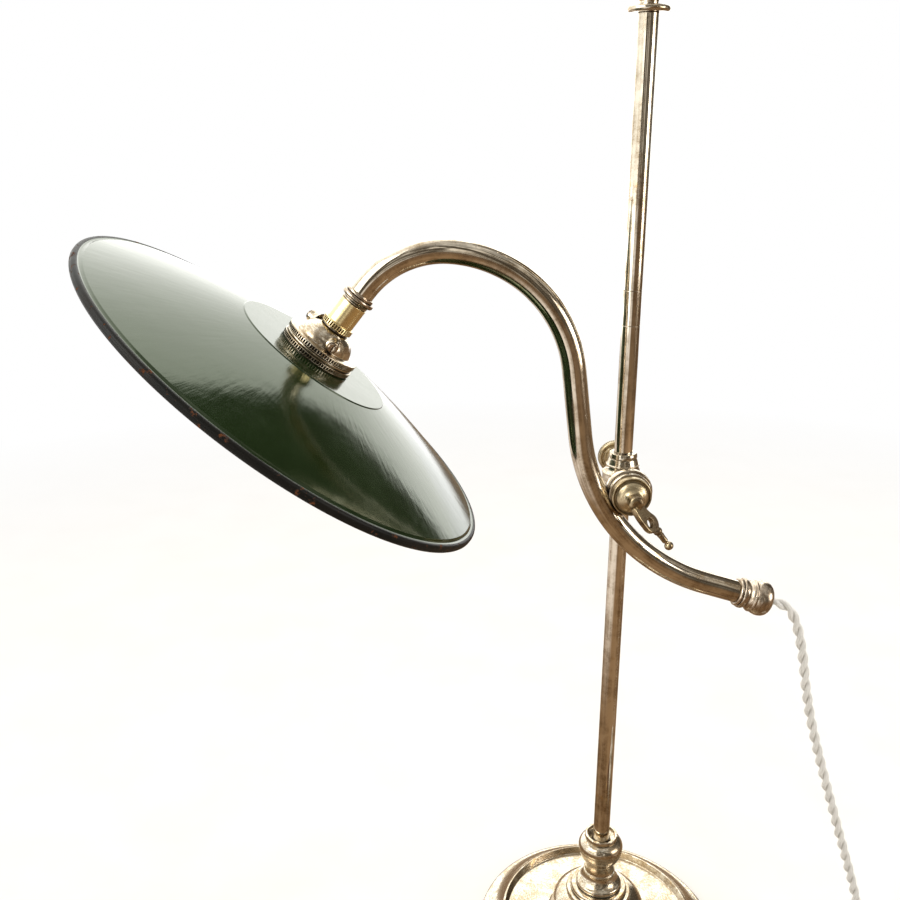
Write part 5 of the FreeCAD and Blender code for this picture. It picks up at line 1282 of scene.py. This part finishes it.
# %% Key
KEY_MIDDLE, WEB_THICKNESS, WEB_EDGE, KEY_TWIST = 33.6, 2.8, 0.5, math.radians(38.0)
EYE_CENTRE, EYE_RADIUS, EYE_SIDES = (12.6, 1.8), 2.4, 40
key_boss = lathe("key_boss", [
    (0, 36.1), (3.05, 36.1), (3.05, 30.75), (3.5, 30.75), (3.7, 31.0), (3.7, 35.7), (3.4, 36.2, 0.2),
    (1.2, 36.8, 0.2), (0, 36.8)], ON_KEY, key_bronze, sides=64, soft=0.1)
web_outline = drawn([(0.2, -2.6), (11.1, -3.7, -0.12), (18.56, -1.5, 0.41), (18.56, 1.5), (11.4, 6.4, 0.41),
                     (0.2, 5.0, 0.1)], soft=0.4)
along_key = ON_KEY @ Matrix.Translation((0, 0, KEY_MIDDLE * MM))
web_place = along_key @ Matrix.Rotation(KEY_TWIST + QUARTER, 4, "X")
eye_outline = ring_of(EYE_RADIUS, EYE_CENTRE, EYE_SIDES)
key_web = plate("key_web", [web_outline, eye_outline], WEB_THICKNESS, WEB_EDGE, web_place, key_bronze)
key_stalk = lathe("key_stalk", [
    (0, 17.0), (1.7, 17.0), (1.5, 17.9), (1.5, 21.3, 0.5), (1.8, 21.8), (1.6, 26.4, -0.05), (1.1, 27.1),
    (1.1, 27.9), (0.2, 32.0, 0.8), (0, 32.0)], along_key @ Matrix.Rotation(QUARTER, 4, "Y"), key_bronze,
    sides=48, soft=0.1)
dressed(united("thumb_key_piece", [key_boss, key_web, key_stalk]), "key", "brass", "thumb_key")
print("key made")

# %% [markdown]
# ## The flex
# A twisted flex is two wires, each braided in silk, laid round each other. A single tube with a
# spiral bump would look flat against the light, so two real strands are wound round one centreline.
# The centreline is a smooth spline through the same route as the solid: through the arm, straight out
# of its tail, down under its own weight, over the table and into a coil that is tied for storage.

# %% Route of the flex
OUTLET_REACH = 5.5 * MM
LEAVE = TAIL_END + Vector((math.cos(TAIL_HEADING), 0, math.sin(TAIL_HEADING))) * OUTLET_REACH
HANG = [(89.76, -18.5, 231.78), (95.6, -18.5, 222.4), (101.2, -18.5, 203.4), (104.9, -18.5, 183.6),
        (110.9, -18.5, 159.0), (119.4, -18.5, 132.6), (129.4, -18.5, 103.6), (139.8, -18.5, 73.8),
        (149.8, -18.5, 45.4), (155.6, -18.5, 25.0), (166.0, -19.0, 8.6), (181.0, -23.0, 2.8),
        (192.6, -34.0, 2.8), (198.1, -56.4, 3.4), (198.0, -66.8, 3.4)]
COIL_CENTRE, COIL_RADIUS, COIL_STEP, COIL_RISE = (158.0, -72.0, 3.4), 40.0, 6.0, 5.9
COIL_TURNS, POINTS_A_TURN = 8.25, 24
PLUG_LEAD = [(146.3, -112.0, 9.3), (130.7, -113.6, 13.4)]


def coil_points():
    """The coil's route: inwards on the table, up in half a turn, outwards on top."""
    whole = 2 * math.pi * COIL_TURNS
    points = []
    for turn in np.linspace(0, whole, round(COIL_TURNS * POINTS_A_TURN) + 1):
        from_middle = turn - whole / 2
        radius = COIL_RADIUS - COIL_STEP * (whole / 2 - abs(from_middle)) / (2 * math.pi)
        climb = min(max(from_middle / math.pi + 0.5, 0), 1)
        points.append((COIL_CENTRE[0] + radius * math.cos(turn), COIL_CENTRE[1] - radius * math.sin(turn),
                       COIL_CENTRE[2] + COIL_RISE * climb * climb * (3 - 2 * climb)))
    return points


HOLDER_DEPTH = 18.5 * MM
ARM_POINT_STEP = 4
lamp_down = -ON_LAMP.col[2].xyz
inside = [ARM_LINE[0] + lamp_down * HOLDER_DEPTH] + ARM_LINE[::ARM_POINT_STEP] + [TAIL_END, LEAVE]
free = [Vector(point) * MM for point in HANG + coil_points() + PLUG_LEAD] + [PLUG_ENTRY]
print("route points:", len(inside), "inside the arm and", len(free), "free")

# %% One smooth line
FLEX_SPACING = 1.0 * MM


def spline_line(points):
    """The points of a smooth spline through a route."""
    data = bpy.data.curves.new("route", "CURVE")
    data.dimensions = "3D"
    data.resolution_u = 8
    spline = data.splines.new("NURBS")
    spline.points.add(len(points) - 1)
    for control, point in zip(spline.points, points):
        control.co = (*point, 1)
    spline.order_u = 3
    spline.use_endpoint_u = True
    route = bpy.data.objects.new("route", data)
    mesh = bpy.data.meshes.new_from_object(route)
    line = np.array([tuple(v.co) for v in mesh.vertices])
    for old, store in ((mesh, bpy.data.meshes), (route, bpy.data.objects), (data, bpy.data.curves)):
        store.remove(old)
    return line


def evenly(line, spacing):
    """The same line with points at an even spacing."""
    run = lengths_along(line)
    marks = np.linspace(0, run[-1], round(run[-1] / spacing) + 1)
    return np.stack([np.interp(marks, run, line[:, axis]) for axis in range(3)], axis=1)


FLEX_LINE = evenly(spline_line(inside + free), FLEX_SPACING)
print("flex in all:", round(lengths_along(FLEX_LINE)[-1], 3), "m")

# %% Two strands
STRAND_RADIUS, LAY_LENGTH, TWIST_WIDTH, FLEX_DIAMETER = 1.42 * MM, 17.5 * MM, 5.5 * MM, 5.2 * MM
STRAND_SIDES = 12


def strand(line, offset):
    """One strand's own centreline, wound round the flex's."""
    line, across, beside = carried_frames(line)
    turn = (lengths_along(line) / LAY_LENGTH * 2 * math.pi + offset)[:, None]
    return line + (across * np.cos(turn) + beside * np.sin(turn)) * (TWIST_WIDTH / 2 - STRAND_RADIUS)


STRANDS = [round_rings(strand(FLEX_LINE, offset), STRAND_RADIUS, STRAND_SIDES) for offset in (0, math.pi)]
flex_run = lengths_along(FLEX_LINE)


def flex_piece(name, first, last):
    """Both strands between two points of the flex's line, as one mesh with closed ends."""
    parts = []
    for rings in STRANDS:
        part = ring_grid(rings[first:last + 1], flex_run[first:last + 1], 2 * math.pi * STRAND_RADIUS, False,
                         [off_white_silk], name, cap=True)
        outwards(part)
        parts.append(part)
    return united(name, parts)


def first_point(test, start=0):
    """The number of the line's first point, from a start, that passes a test."""
    return next(i for i in range(start, len(FLEX_LINE)) if test(FLEX_LINE[i]))


HIGH_CUT, LOW_CUT, COIL_EDGE = 0.168, 0.112, HANG[-1][1] * MM
at_outlet = min(range(len(FLEX_LINE)), key=lambda i: np.linalg.norm(FLEX_LINE[i] - np.array(LEAVE)))
at_high = first_point(lambda p: p[2] < HIGH_CUT, at_outlet)
at_low = first_point(lambda p: p[2] < LOW_CUT, at_high)
at_coil = first_point(lambda p: p[1] < COIL_EDGE, at_low)
cuts = [0, at_outlet, at_high, at_low, at_coil, len(FLEX_LINE) - 1]
flex_inside, flex_upper, flex_middle, flex_lower, flex_coiled = [
    flex_piece(name, first, last) for name, first, last in zip(
        ("flex_in_arm", "flex_upper", "flex_middle", "flex_lower", "flex_coiled"), cuts, cuts[1:])]
print("flex pieces:", [round(float(flex_run[b] - flex_run[a]), 3) for a, b in zip(cuts, cuts[1:])])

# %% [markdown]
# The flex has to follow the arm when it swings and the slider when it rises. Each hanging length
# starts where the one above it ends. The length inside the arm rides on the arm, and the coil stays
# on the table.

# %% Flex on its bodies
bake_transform(flex_upper)
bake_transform(flex_middle)
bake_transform(flex_lower)
for piece in (flex_upper, flex_middle, flex_lower):
    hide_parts("flex_drop")
dressed(flex_coiled, "root", "flex", "flex_coil")
dressed(flex_inside, "arm", "flex", "flex_inner")

# %% [markdown]
# ## The plug
# The plug is a round two-pin one in brown resin: a ribbed cover, a plain front with a screw, and two
# split brass pins. A rubber guard tapers down to the flex so that it can't kink at the entry.

# %% Plug and guard
RIBS, RIB_DEPTH, RIB_SHARES = 7, 0.5, ((0.15, 0), (0.7, 0), (0.8, 1), (1.0, 1))
GUARD_TIP, GUARD_FOOT, RIBS_FROM, RIBS_TO, GUARD_END = 3.5, 5.4, 0.6, 21.0, 22.0


def ribbed():
    """Points of the guard's taper, with a groove after each rib."""
    points = []
    for index in range(RIBS):
        for share, grooved in RIB_SHARES:
            along = (index + share) / RIBS
            radius = GUARD_TIP + (GUARD_FOOT - GUARD_TIP) * along - grooved * RIB_DEPTH
            points.append((radius, RIBS_FROM + (RIBS_TO - RIBS_FROM) * along))
    return points


guard = lathe("guard_ribs", [(0, 0), (GUARD_TIP, 0), *ribbed(), (GUARD_FOOT, GUARD_END), (0, GUARD_END)],
              ON_PLUG, brown_resin, sides=48)
dressed(guard, "root", "plug", "flex_guard")
cover = lathe("plug_grip", [(0, 22.0), (8.6, 22.0), (12.6, 30.5, 0.2), (12.6, 39.0), (0, 39.0)], ON_PLUG,
              brown_resin, soft=0.4, knurl=(31.0, 38.4, 36, 0.7))
dressed(cover, "root", "plug", "plug_cover")
print("plug made")


# %% [markdown]
# ## Solids that are shown as they are
# The rest of the solids keep their own mesh. Each gets the material of its stuff.

# %% Materials for the solids
SOLID_FINISH = {
    plain_nickel: ("slider_bush", "arm_nipple"),
    plain_brass: ("pivot_spindle", "pivot_spring", "holder_body", "terminal_plates", "contact_springs",
                  "contact_plungers", "plug_pins", "plug_screw"),
    plain_steel: ("base_washer", "base_nut", "lock_pad"),
    cast_iron: ("base_weight",),
    baize: ("base_felt",),
    red_fibre: ("pivot_washer",),
    porcelain: ("insulator",),
    brown_resin: ("plug_body",),
    cotton_tape: ("coil_tie",),
}
for material, names in SOLID_FINISH.items():
    for name in names:
        solid = frame["nodes"][name]
        solid.data.materials.clear()
        solid.data.materials.append(material)
print("solids dressed:", sum(len(names) for names in SOLID_FINISH.values()))

# %% [markdown]
# ## Finish
# The picture's view transform is the plain one.

# %% Settings
bpy.context.scene.view_settings.view_transform = "Standard"
